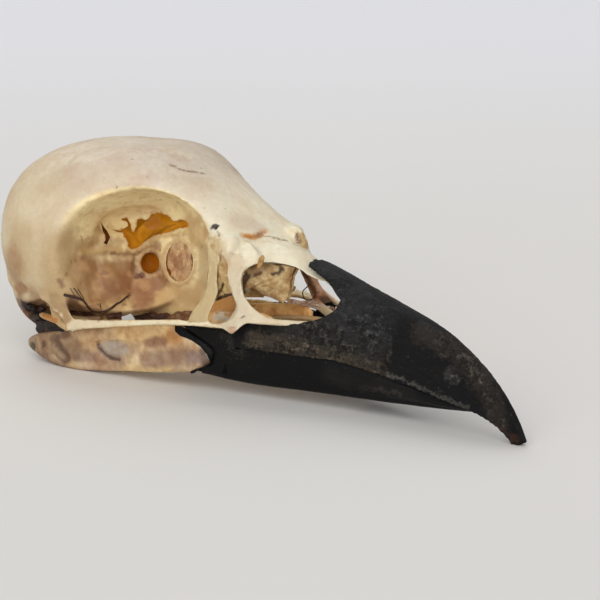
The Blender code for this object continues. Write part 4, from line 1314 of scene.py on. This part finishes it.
jaw = {
    "voxel": 0.18,
    "rounds": 5,
    # the pane is painted the grey of the shaded table seen through the window: a sheet of painted shade
    # the thin pane in the window of the jaw, which lies behind the bone around it: the pixel at
    # its middle, the radii of its outline and of the bone around it, depth and thickness
    "window": (113.5, 349.5),
    "paneRadii": (17.5, 11.5),
    "aroundRadii": (21.0, 14.5),
    "paneDepth": 0.36,
    "paneThickness": 0.6,
    "paneStain": pixelRing((113.5, 348.6), (14.5, 8.3), 24),
    # the thin top edge under the cheek bar, on the right only: pixels, the pixel rows that are
    # tried for the y of the bone below each of them, depth and thickness
    "top": (
        (60, 334), (66, 330.4), (84, 327.8), (111, 326.2), (134, 325.4), (150, 325.4), (160, 326),
        (160, 339), (134, 340), (84, 341), (60, 341),
    ),
    "topRows": (342, 346, 350, 354, 358),
    "topDepth": 0.38,
    "topThickness": 0.8,
    # the part that the horn of the lower bill covers: pixels, and the y where it begins and ends
    "horn": (
        (
            (175.2, 318), (175.2, 331), (180.3, 335.5), (191.8, 340), (200.7, 346.3), (207, 354),
            (210.3, 361.6), (208.4, 365.5), (197, 368.6), (191, 371.4), (190, 378), (235, 378),
            (235, 318),
        ),
        -16.0,
        -0.4,
    ),
}
jawColours = {
    "base": (224, 200, 158),
    "clouds": (166, 142, 118),
    "light": (202, 170, 122),
    "back": (134, 108, 84),
    "underside": (150, 120, 90),
    "pane": (178, 165, 148),
}


def jawPlates(bare):
    pane = []
    outline = pixelRing(jaw["window"], jaw["paneRadii"], 20)
    for pixel, around in zip(outline, pixelRing(jaw["window"], jaw["aroundRadii"], 20)):
        pane.append((*pixel, castOn(bare, *around)[0].y + jaw["paneDepth"]))
    top = []
    for px, py in jaw["top"]:
        seen = [castOn(bare, px, row) for row in jaw["topRows"]]
        top.append((px, py, next(hit for hit in seen if hit)[0].y + jaw["topDepth"]))
    return [*bothSides([slab(pane, jaw["paneThickness"])]), slab(top, jaw["topThickness"])]


def makeJaw():
    # gives a copy of the front of the jaw, from which the horn over it is made
    added = jawPlates(treeOf(nodes["mandible"]))
    piece = refine(copyOfNodes(("mandible",)), jaw["voxel"], jaw["rounds"], 1, added)
    raiseAlong(piece, jawShape)
    points = pointsOf(piece)
    points += normalsOf(piece) * (0.04 * roughness(points, 0.7, 3))[:, None]
    points[:, 2] = np.maximum(points[:, 2], 0.0)
    setPoints(piece, points)
    coat = Coat(piece, jawColours["base"], 4, 0.12)
    clouds = roughness(points, 0.3, 5)
    coat.lay(jawColours["clouds"], 0.75 * smoothStep(clouds, -0.15, 0.65))
    coat.lay(jawColours["light"], 0.5 * smoothStep(-clouds, 0.1, 0.5))
    coat.lay(jawColours["back"], 0.8 * smoothStep(points[:, 0], 14.5, 8.0))
    # painted shade: surfaces that face down are darker
    coat.lay(jawColours["underside"], 0.6 * smoothStep(-coat.normals[:, 2], 0.2, 0.8))
    coat.marks(jawMarks)
    # painted shade: the grey of the shaded table on the pane
    coat.lay(jawColours["pane"], coat.within(jaw["paneStain"], 1.0))
    coat.marks((jawWindowDarkRim,))
    coat.store("jaw")
    front = addObject("front", piece.data.copy())
    covered = upright(*jaw["horn"])
    cutAway(front, cuttersOf([covered], "jaw"), "INTERSECT")
    cutAway(piece, cuttersOf(bothSides([covered]), "jaw"))
    dress(piece, "jaw_bone", "jaw_bone", "mandible")
    return front


jawFront = makeJaw()
print("jaw ready")

# Bill: ridge x and z, cutting edge x and z of its sections, and how its horn is refined
upperBill = {
    "sections": (
        (36.0, 18.4, 36.0, 6.2),
        (45.0, 16.8, 45.0, 6.3),
        (53.0, 14.7, 53.0, 6.4),
        (58.2, 13.4, 57.4, 5.7),
        (63.1, 12.0, 61.8, 4.9),
        (66.8, 10.4, 65.3, 4.1),
        (69.9, 8.5, 68.4, 3.4),
        (72.8, 6.2, 71.2, 2.7),
        (74.9, 3.9, 73.2, 1.7),
        (76.9, 0.5, 75.4, -0.3),
    ),
    # the front end of the nostril: pixels, and the y where the cut ends
    "notch": (
        (314, 279.5, 0.3), (325.3, 281.6, 0.3), (331, 286.4, 0.3), (335.8, 293.8, 0.3), (340.6, 300.4, 0.3),
        (338.7, 304, -1.6), (334.5, 310.7, -2.4), (325, 316.5, -3.0), (313, 321, -3.4), (296, 321.6, -3.6),
        (262, 321.8, -4.2), (262, 312, -4.2), (300, 296, -2.0),
    ),
    "notchStart": -10.0,
    "voxel": 0.14,
    "rounds": 2,
    "relief": 0.07,
    # the height of the bill in the places that the grain is worked out from
    "grainHeight": 11.0,
    # colour, seed and raggedness of the coat
    "coat": ((16, 15, 16), 6, 0.5),
}
upperMarks = (
    ((84, 80, 76), 0.8, 1.4, 4.2, ((300, 330), (335, 325), (362, 345))),
    ((78, 78, 80), 0.7, 1.4, 4.2, ((330, 290), (345, 305), (370, 325))),
    ((118, 106, 90), 0.9, 0.5, 1.6, ((252, 340), (285, 345), (330, 357), (376, 371))),
    ((92, 84, 76), 0.8, 0.5, 1.7, ((420, 332), (458, 353), (480, 374))),
    ((88, 80, 72), 0.8, 0.4, 1.8, ((476, 375), (488, 392), (499, 420))),
    ((106, 102, 96), 0.85, 0.12, 0.45, ((386, 374), (430, 392.5), (467, 409))),
    ((86, 60, 44), 0.85, 0.1, 0.5, ((470, 412), (495, 425.5), (512, 440))),
    ((104, 101, 97), 0.85, 0.75, 1.25, ((452.8, 375.5),)),
    ((100, 96, 90), 0.8, 0.08, 0.3, ((390.5, 337), (389.5, 350), (389, 361))),
    ((80, 52, 34), 0.7, 0.2, 0.7, ((512, 437), (516, 441))),
)
upperWorn = (0.85, 0.7, 1.0, 0.8, 0.7, 0.3, 0.2, 0.8, 0.6, 0.2)  # how worn the horn is along each mark


def billPlaces(points):
    # how far along the bill each point is, and how high between cutting edge and ridge
    table = np.array(curveThrough(upperBill["sections"], 10))
    best = np.full(len(points), 1e9)
    along = np.zeros(len(points))
    height = np.zeros(len(points))
    for ridgeX, ridgeZ, edgeX, edgeZ in table:
        span = np.array((ridgeX - edgeX, ridgeZ - edgeZ))
        offset = points[:, [0, 2]] - np.array((edgeX, edgeZ))
        aside = np.abs(offset[:, 0] * span[1] - offset[:, 1] * span[0]) / np.linalg.norm(span)
        closer = aside < best
        best = np.where(closer, aside, best)
        along = np.where(closer, edgeX, along)
        height = np.where(closer, offset @ span / (span @ span), height)
    return along, height


def makeUpperSheath():
    piece = refine(copyOfNodes(("upper_sheath",)), upperBill["voxel"], upperBill["rounds"], 0)
    notch = prism([(px, py, upperBill["notchStart"], last) for px, py, last in upperBill["notch"]])
    piece.data.materials.append(materials["upperHorn"])
    cutAway(piece, cuttersOf(bothSides([notch]), "upperHorn"))
    points = pointsOf(piece)
    along, height = billPlaces(points)
    place = np.column_stack([along, height * upperBill["grainHeight"], points[:, 1]])
    coat = Coat(piece, *upperBill["coat"])
    coat.marks(upperMarks)
    worn = np.zeros(len(points))
    for row, share in zip(upperMarks, upperWorn):
        worn = np.maximum(worn, share * coat.near(row[4], row[2], row[3] * 1.15))
    coat.store(None)
    fibres = roughness(place * np.array((0.16, 1.1, 0.7)), 1.1, 2, 4)
    grains = roughness(points, 1.3, 3, 3)
    lift = upperBill["relief"] * (0.45 * fibres + worn * grains) * smoothStep(points[:, 2], 1.5, 3.0)
    points = points + normalsOf(piece) * lift[:, None]
    points[:, 2] = np.maximum(points[:, 2], 0.0)
    setPoints(piece, points)
    storeVector(piece, "grain", place)
    storeMask(piece, "worn", worn + 0.12)
    dress(piece, "horn_of_upper_bill", "horn", "upper_sheath")


lowerBill = {
    "voxel": 0.14,
    "rounds": 2,
    # closes the seam where the horn reaches over the jaw: pixels, and the pixel of the sheath
    # whose y each corner takes; how far inside it lies, and its thickness
    "bridge": (
        (202, 344, (232, 345)), (224, 344, (232, 345)), (226, 374, (226, 368)), (206, 372, (222, 368)),
        (194, 370.6, (222, 368)),
    ),
    "bridgeDepth": 0.2,
    "bridgeThickness": 0.5,
    # closes the gap under the cutting edge and the groove behind the upper horn: pixels and y
    "lips": (
        (
            (240, 344, -6.95), (270, 346, -6.05), (300, 351, -5.25), (330, 357, -4.45), (360, 363, -3.65),
            (400, 376, -2.55), (440, 394, -1.42), (440, 403, -1.42), (400, 388, -2.55), (360, 376, -3.65),
            (330, 369, -4.45), (300, 363, -5.25), (270, 361, -6.05), (240, 356, -6.95),
        ),
        ((228, 331, -7.45), (238, 331, -7.3), (239, 346, -7.3), (229, 350, -7.45)),
    ),
    "lipThickness": 0.45,
    "overJaw": 0.07,  # how far the horn lies outside the jaw that it covers
    "coat": ((10, 10, 11), 7, 0.4),
    "scratches": ((222, 340), (232, 350), (244, 352)),
}
lowerMarks = (
    ((56, 52, 48), 0.7, 0.2, 1.0, ((224, 336), (234, 347), (240, 352))),
    ((30, 28, 27), 0.7, 0.5, 2.0, ((330, 375), (370, 385), (410, 395))),
    ((60, 56, 52), 0.6, 0.1, 0.5, ((360, 388), (385, 391), (400, 393))),
)


def makeLowerSheath():
    lips = bothSides([slab(rows, lowerBill["lipThickness"]) for rows in lowerBill["lips"]])
    piece = refine(copyOfNodes(("lower_sheath",)), lowerBill["voxel"], lowerBill["rounds"], 0, lips)
    setPoints(jawFront, pointsOf(jawFront) + lowerBill["overJaw"] * normalsOf(jawFront))
    bare = treeOf(nodes["lower_sheath"])
    depth = lowerBill["bridgeDepth"]
    bridge = [(px, py, castOn(bare, *seen)[0].y + depth) for px, py, seen in lowerBill["bridge"]]
    joinShapes(jawFront, [slab(bridge, lowerBill["bridgeThickness"])])
    joinPieces(piece, mirrorPiece(jawFront))
    piece.data.attributes.remove(piece.data.attributes["tone"])
    piece.data.shade_smooth()
    points = pointsOf(piece)
    place = points * np.array((1.0, 1.0, 1.6))
    coat = Coat(piece, *lowerBill["coat"])
    coat.marks(lowerMarks)
    coat.store("lowerHorn")
    lift = 0.02 * roughness(place * np.array((0.15, 1.0, 1.0)), 1.2, 4, 4)
    setPoints(piece, points + normalsOf(piece) * lift[:, None])
    storeVector(piece, "grain", place)
    scratched = coat.near(lowerBill["scratches"], 0.4, 1.8)
    patches = smoothStep(roughness(points, 0.2, 6), 0.0, 0.6)
    storeMask(piece, "worn", 0.25 * patches + 0.8 * scratched)
    dress(piece, "horn_of_lower_bill", "horn", "lower_sheath")


makeUpperSheath()
makeLowerSheath()
print("bill ready")

# Dried skin and gristle, outlined by the pixels where they show. A plate's values are its
# thickness, its grid, and how far and with what seed it wanders; a coat's are its colour, its
# seed and how ragged its marks are.
gristle = {
    "outline": (
        (260, 262), (272, 261.5), (286, 264), (296, 267.3), (293.6, 271), (291.6, 276), (290.2, 284),
        (290.4, 289.6), (287.2, 298), (283.4, 303), (277.5, 302), (270.8, 297.6), (262.2, 294.2),
        (254.5, 288.8), (249, 286.2), (246.4, 290.5), (244.8, 294.6), (242, 291.5), (240.6, 282),
        (241.5, 273), (247, 267.5),
    ),
    # y at the front, and how the plate bends out to the side toward the back of the nostril
    "plane": -0.25,
    "bend": 3.6,
    "bendStart": 288.0,
    "bendLength": 46.0,
    "bendPower": 1.2,
    "plate": (0.35, 0.12, 0.35, 3),
    "coat": ((234, 208, 154), 3, 0.15),
}
gristleMarks = (
    ((98, 58, 38), 0.95, 0.25, 0.6, ((246, 275), (243.6, 281), (243, 288), (244, 293))),
    ((84, 50, 30), 0.9, 0.08, 0.35, ((261, 272.5), (255, 275), (249.7, 276.2), (246, 282))),
    ((74, 44, 28), 0.9, 0.1, 0.35, ((282.3, 269.3), (279, 272.6), (271.7, 274.3))),
    ((78, 46, 28), 0.9, 0.08, 0.32, ((273.7, 263.4), (279.4, 264.7), (281.4, 267.4))),
    ((150, 108, 70), 0.6, 0.1, 0.5, ((256, 289), (264, 293.4), (272, 296.6), (280, 301))),
    ((208, 178, 126), 0.6, 0.05, 0.3, ((255, 291), (264, 295.6), (274, 300))),
    ((198, 156, 96), 0.7, 0.1, 0.5, ((292, 270), (290, 276), (289, 284))),
    ((148, 104, 66), 0.6, 0.3, 1.2, ((255, 268), (264, 266))),
)
frontPanel = {
    "outline": (
        (210, 244), (219, 243), (225, 250), (228, 272), (231, 284), (234.5, 295), (227, 296),
        (222, 297.8), (217.4, 301), (212, 302.5), (207.5, 302), (208, 290), (209, 262),
    ),
    "plane": -6.6,
    "leftLow": 14.6,  # the left panel ends at this height, above an opening that shows
    "plate": (0.4, 0.12, 0.3, 5),
    "coat": ((200, 174, 120), 4, 0.15),
}
panelMarks = (
    ((64, 38, 24), 0.95, 0.1, 0.32, ((223, 284), (218.6, 293), (212.4, 299.6))),
    ((64, 38, 24), 0.95, 0.12, 0.34, ((232, 295), (222, 297), (217.6, 300.6))),
    ((150, 116, 70), 0.7, 0.1, 0.4, ((217.5, 262), (217, 275), (218, 284))),
    ((212, 188, 142), 0.7, 0.3, 1.2, ((219, 246), (221, 258))),
    ((120, 86, 52), 0.7, 0.05, 0.25, ((210.5, 284), (210, 291))),
    ((136, 100, 60), 0.7, 0.1, 0.4, ((219, 257), (220.5, 260))),
)
windowSkin = {
    "outline": pixelRing((179, 262), (15.2, 21.2), 32),
    "plane": -0.35,
    "plate": (0.3, 0.12, 0.12, 8),
    "coat": ((232, 200, 154), 5, 0.3),
    "dark": (172, 124, 92),
    "light": (224, 198, 160),
    "marks": (
        ((104, 66, 58), 0.9, 0.1, 0.4, ((192, 256), (193, 266), (190.5, 277))),
        # painted highlight: a glint on the skin
        ((252, 246, 226), 0.95, 0.1, 0.28, ((187.8, 279.6),)),
        ((120, 78, 54), 0.8, 0.05, 0.3, ((166, 270), (169, 278), (175, 281))),
    ),
}
# a dark sheet under the orbit: partly brown tissue, partly painted shade in the gap there
floorSkin = {
    # pixels and y
    "outlines": (
        (
            (60, 312, -9.5), (68, 309, -9.5), (76, 311, -9.0), (90, 314.5, -8.5), (98, 316, -8.2),
            (106, 315, -8.0), (109, 312, -7.6), (114, 311, -7.2), (121, 311.5, -7.0), (121.6, 316, -7.0),
            (120.6, 322, -7.0), (100, 323, -8.0), (62, 324, -9.5),
        ),
        (
            (134.4, 312.4, -3.0), (141.8, 311.6, -2.6), (157, 313.6, -2.4), (172.4, 313.6, -2.4),
            (191.8, 310.0, -2.4), (196, 322, -2.6), (134.6, 322, -3.0),
        ),
    ),
    "thickness": 0.5,
    "voxel": 0.14,
    "uneven": (0.25, 1.2, 4),  # height, scale and seed
    "coat": ((122, 80, 54), 5, 0.2),
    "dark": (84, 44, 30),
    "marks": (
        ((224, 196, 134), 0.95, 0.45, 0.9, ((99, 318.5), (106, 318.5), (110, 319.5)), True),
        ((84, 40, 26), 0.9, 0.4, 0.9, ((110, 314.5), (118, 314)), True),
        # painted shade with brown tissue: the dark strip
        ((70, 44, 30), 0.9, 0.3, 0.8, ((136, 315), (150, 316.5), (166, 317)), True),
        ((150, 112, 74), 0.8, 0.3, 0.8, ((172, 317.5), (184, 316), (192, 313)), True),
    ),
}
mouthSkin = {
    "outline": (
        (234, 306), (244, 303.5), (258, 303.6), (276, 302.6), (292, 302.8), (301, 305), (309, 308.6),
        (311.6, 312), (312, 316), (312.5, 324), (296, 327), (262, 327), (236, 327),
    ),
    "plane": 3.2,
    "plate": (0.35, 0.14, 0.3, 10),
    "coat": ((246, 200, 132), 6, 0.5),
    "dark": (214, 158, 92),
    # painted light: a pale glow at the foot of the opening
    "marks": (((250, 240, 216), 0.95, 0.3, 0.9, ((216, 317), (222, 315.4), (228, 317)), True),),
}


def organicPlate(outline, thickness, voxel, wobble, seed):
    # a thin plate within an outline in space, with a rounded edge, gently uneven
    bm = bmesh.new()
    face = bm.faces.new([bm.verts.new(toRow(p)) for p in outline])
    bmesh.ops.triangulate(bm, faces=[face])
    mesh = bpy.data.meshes.new("plate")
    bm.to_mesh(mesh)
    bm.free()
    piece = addObject("plate", mesh)
    thick = piece.modifiers.new("thick", "SOLIDIFY")
    thick.thickness = thickness * mm
    thick.offset = 0.0
    refine(piece, voxel, 3, 0)
    points = pointsOf(piece)
    points[:, 1] += wobble * roughness(points * np.array((1.0, 0.0, 1.0)), 0.5, seed)
    setPoints(piece, points)
    return piece


def outlineOf(part):
    return [onPlane(px, py, part["plane"]) for px, py in part["outline"]]


def makeGristle():
    outline = []
    for px, py in gristle["outline"]:
        back = max(0.0, (gristle["bendStart"] - px) / gristle["bendLength"])
        outline.append(onPlane(px, py, gristle["plane"] - gristle["bend"] * back ** gristle["bendPower"]))
    piece = mirrorPiece(organicPlate(outline, *gristle["plate"]))
    coat = Coat(piece, *gristle["coat"])
    coat.marks(gristleMarks)
    coat.store("gristle")
    dress(piece, "nose_gristle", "dry_membrane", "nasal_septum")


def makeFrontPanel(word, low):
    outline = [Vector((p.x, p.y, max(p.z, low))) for p in outlineOf(frontPanel)]
    piece = organicPlate(outline, *frontPanel["plate"])
    coat = Coat(piece, *frontPanel["coat"])
    coat.marks(panelMarks)
    coat.store("gristle")
    if word == "left":
        setPoints(piece, pointsOf(piece) * np.array((1.0, -1.0, 1.0)))
        piece.data.flip_normals()
    dress(piece, f"orbit_front_skin_{word}", "dry_membrane")


def makeWindowSkin():
    piece = mirrorPiece(organicPlate(outlineOf(windowSkin), *windowSkin["plate"]))
    coat = Coat(piece, *windowSkin["coat"])
    streaks = roughness(coat.points * np.array((1.0, 1.0, 0.35)), 0.9, 4)
    coat.lay(windowSkin["dark"], 0.65 * smoothStep(streaks, 0.05, 0.4))
    coat.lay(windowSkin["light"], 0.6 * smoothStep(-streaks, 0.1, 0.5))
    coat.marks(windowSkin["marks"])
    coat.store("skin")
    dress(piece, "orbit_window_skin", "dry_membrane")


def makeFloorSkin():
    shapes = [slab(rows, floorSkin["thickness"]) for rows in floorSkin["outlines"]]
    piece = refine(newPiece("floor_skin", *together(shapes)), floorSkin["voxel"], 3, 0)
    roughen(piece, *floorSkin["uneven"])
    coat = Coat(piece, *floorSkin["coat"])
    coat.lay(floorSkin["dark"], 0.8 * smoothStep(roughness(coat.points, 0.8, 5), 0.0, 0.4))
    coat.marks(floorSkin["marks"])
    coat.store("tissue")
    dress(piece, "orbit_floor_skin", "dry_membrane")


def makeMouthSkin():
    piece = mirrorPiece(organicPlate(outlineOf(mouthSkin), *mouthSkin["plate"]))
    coat = Coat(piece, *mouthSkin["coat"])
    coat.lay(mouthSkin["dark"], 0.8 * smoothStep(roughness(coat.points, 0.35, 4), 0.0, 0.5))
    coat.marks(mouthSkin["marks"])
    # painted light: this skin glows a little
    coat.store("litSkin")
    dress(piece, "mouth_skin", "dry_membrane")


makeGristle()
makeFrontPanel("right", 0.0)
makeFrontPanel("left", frontPanel["leftLow"])
makeWindowSkin()
makeFloorSkin()
makeMouthSkin()
print("thin parts ready")

# Threads and dark tissue
orbitStrands = {
    # half thickness of each strand, and the pixels that it runs through
    "lines": (
        (
            0.19,
            (
                (63.8, 294.6), (70.4, 296), (81.6, 299.7), (87.8, 306.3), (91.8, 310.4), (98, 311.4),
                (105, 310.9),
            ),
        ),
        (
            0.17,
            (
                (105, 310.9), (109, 309.4), (113.3, 306.8), (117, 303.8), (120.4, 302.2), (124, 299),
                (128, 296),
            ),
        ),
        (0.05, ((70.4, 288), (72.4, 292), (76, 297))),
        (0.07, ((73.5, 288), (80.6, 297), (84, 302.2))),
        (0.06, ((77.6, 289), (82.7, 297), (85, 303))),
        (0.06, ((100, 303.3), (101, 309.8))),
        (0.04, ((97, 303.6), (100.6, 307))),
        (0.04, ((108, 311), (103, 314), (98, 313))),
    ),
    # shares of the half thickness: how far a strand's middle is above the bone, and how much
    # thinner it is at its end
    "above": 0.4,
    "taper": 0.5,
    "coat": ((66, 40, 26), 3, 0.0),
}


def makeStrands():
    shapes = []
    for radius, pixels in orbitStrands["lines"]:
        path = []
        for px, py in curveThrough(pixels, 3):
            hit = castOn(skullTree, px, py)
            if hit:
                path.append(hit[0] + hit[1] * radius * orbitStrands["above"])
        thin = [radius * (1.0 - orbitStrands["taper"] * i / len(path)) for i in range(len(path))]
        shapes.append(tube(path, thin, 8, 1))
    piece = newPiece("strands", *together(bothSides(shapes)))
    Coat(piece, *orbitStrands["coat"]).store("tissue")
    dress(piece, "orbit_strands", "dry_membrane")


noseThread = {
    "loop": (
        (306, 277), (309, 282), (308, 285.8), (303.3, 290.6), (302.8, 294.4), (305.2, 299.4), (311, 299.6),
        (314.8, 296.3), (316, 291),
    ),
    "plane": 5.0,
    "radius": 0.07,
    "coat": ((70, 64, 60), 3, 0.0),
}
noseShreds = {
    # pixels and y of each shred, and its half thickness at each
    "paths": (
        (
            ((284, 298.6, -0.3), (298, 301.4, 2.0), (314, 304.6, 4.0), (334, 309, 5.6)),
            (0.16, 0.17, 0.2, 0.24),
        ),
        (
            ((287, 301.6, 0.4), (302, 304.6, 2.6), (318, 308.2, 4.6), (338, 311.5, 5.8)),
            (0.11, 0.14, 0.18, 0.2),
        ),
        (((296, 303.4, 2.0), (308, 306.6, 3.4), (322, 310.2, 5.0)), (0.08, 0.12, 0.14)),
        (((302, 301.4, 3.0), (312, 301.8, 4.4), (324, 305, 5.4)), (0.08, 0.16, 0.2)),
    ),
    "voxel": 0.1,
    "uneven": (0.1, 1.6, 5),
    "coat": ((226, 200, 182), 3, 0.2),
    "dark": (176, 128, 106),
    "farEnd": (96, 58, 42),
}
noseFlap = {
    "outline": ((257, 268), (259, 258), (262.5, 254.8), (264, 258), (262.6, 264), (260, 268)),
    "plane": -5.1,
    "plate": (0.3, 0.1, 0.1, 4),
    "coat": ((196, 158, 96), 3, 0.1),
}


def makeNoseThread():
    loop = [onPlane(px, py, noseThread["plane"]) for px, py in noseThread["loop"]]
    piece = newPiece("thread", *tube(loop, [noseThread["radius"]] * len(loop), 8, 4))
    Coat(piece, *noseThread["coat"]).store("tissue")
    dress(piece, "nose_thread", "dry_membrane")


def makeNoseShreds():
    shapes = [tube([onPlane(*place) for place in path], sizes, 10, 4) for path, sizes in noseShreds["paths"]]
    piece = refine(newPiece("shreds", *together(shapes)), noseShreds["voxel"], 1, 0)
    points = roughen(piece, *noseShreds["uneven"])
    coat = Coat(piece, *noseShreds["coat"])
    coat.lay(noseShreds["dark"], 0.8 * smoothStep(roughness(points, 1.1, 9), 0.1, 0.5))
    leftEnd = smoothStep(points[:, 1], 4.4, 5.6)
    coat.lay(noseShreds["farEnd"], 0.8 * leftEnd * smoothStep(roughness(points, 1.4, 2), -0.1, 0.3))
    coat.store("gristle")
    dress(piece, "nose_shreds", "dry_membrane")


def makeNoseFlap():
    piece = organicPlate(outlineOf(noseFlap), *noseFlap["plate"])
    Coat(piece, *noseFlap["coat"]).store("gristle")
    dress(piece, "nose_flap", "dry_membrane")


earTissue = {
    # pixels and half thicknesses of the strings, which lie a little off the bone
    "strings": (
        (((26, 304.5), (30, 308), (36, 309.5), (41.5, 307.5)), (0.4, 0.55, 0.55, 0.4)),
        (((35, 313), (40, 318), (46, 324), (54, 329)), (0.3, 0.5, 0.5, 0.3)),
    ),
    "offBone": (0.1, 0.35, 0.0),
    # the sheet below them
    "sheet": ((36, 321), (46, 321), (56, 323.5), (67, 329), (67.4, 335.4), (56, 337), (44, 336), (36, 331)),
    "sheetPlane": -10.8,
    "sheetThickness": 0.7,
    "voxel": 0.14,
    "uneven": (0.3, 1.3, 4),
    "coat": ((34, 22, 17), 3, 0.2),
    "red": (82, 36, 22),
}


def makeEarTissue():
    shapes = []
    for pixels, sizes in earTissue["strings"]:
        path = [hit + Vector(earTissue["offBone"]) for hit in castPath(skullTree, pixels)]
        shapes.append(tube(path, sizes[: len(path)], 12, 3))
    sheet = [(*pixel, earTissue["sheetPlane"]) for pixel in earTissue["sheet"]]
    shapes.append(slab(sheet, earTissue["sheetThickness"]))
    piece = refine(newPiece("tissue", *together(bothSides(shapes))), earTissue["voxel"], 2, 0)
    points = roughen(piece, *earTissue["uneven"])
    coat = Coat(piece, *earTissue["coat"])
    coat.lay(earTissue["red"], 0.6 * smoothStep(roughness(points, 0.8, 6), 0.1, 0.5))
    coat.store("tissue")
    dress(piece, "ear_tissue", "dry_membrane")


makeStrands()
makeNoseThread()
makeNoseShreds()
makeNoseFlap()
makeEarTissue()
print("threads and tissue ready")


# Floor and light
stage = {
    # the floor's colour near the skull, faintly clouded and a little darker and warmer as painted
    # shade, and far from it; the change is from the first to the second of two distances in metres
    "near": (tint(229, 226, 222), tint(226, 224, 220)),
    "far": tint(233, 233, 237),
    "change": (0.05, 0.45),
    "reach": 3.0,
    "world": 0.36,
    # direction of each lamp, its strength, and how wide it looks in degrees
    "lamps": {"key": ((-0.6, 0.3, 0.75), 0.85, 45.0), "front": ((0.5, -0.8, 0.5), 2.2, 75.0)},
}


def makeFloor():
    paint = Paint("floor_paper")
    place = paint.node("ShaderNodeTexCoord", output=3)
    away = paint.node("ShaderNodeVectorMath", {"operation": "LENGTH"}, {0: place}, 1)
    cloudy = paint.between(paint.cloud(place, 9.0, 2.0), 0.3, 0.7)
    far = paint.between(away, *stage["change"])
    # painted shade: darker and warmer near the skull
    near = paint.mix(*stage["near"], cloudy)
    paint.feed(BaseColor=paint.mix(near, stage["far"], far), Roughness=0.85)
    floor = bpy.data.meshes.new("floor")
    reach = stage["reach"]
    corners = [(-reach, -reach, 0), (reach, -reach, 0), (reach, reach, 0), (-reach, reach, 0)]
    floor.from_pydata(corners, [], [(0, 1, 2, 3)])
    floor.materials.append(paint.material)
    piece = addObject("floor", floor)


def makeLight():
    world = bpy.data.worlds.new("studio")
    world.use_nodes = True
    background = world.node_tree.nodes["Background"]
    background.inputs["Color"].default_value = (1.0, 1.0, 1.0, 1.0)
    background.inputs["Strength"].default_value = stage["world"]
    bpy.context.scene.world = world
    for name, (toward, strength, spread) in stage["lamps"].items():
        data = bpy.data.lights.new(name, "SUN")
        data.energy = strength
        data.angle = math.radians(spread)
        lamp = addObject(name, data)
        lamp.rotation_mode = "QUATERNION"
        lamp.rotation_quaternion = Vector(toward).to_track_quat("Z", "Y")
    bpy.context.scene.view_settings.view_transform = "Standard"


makeFloor()
makeLight()
print("stage ready")
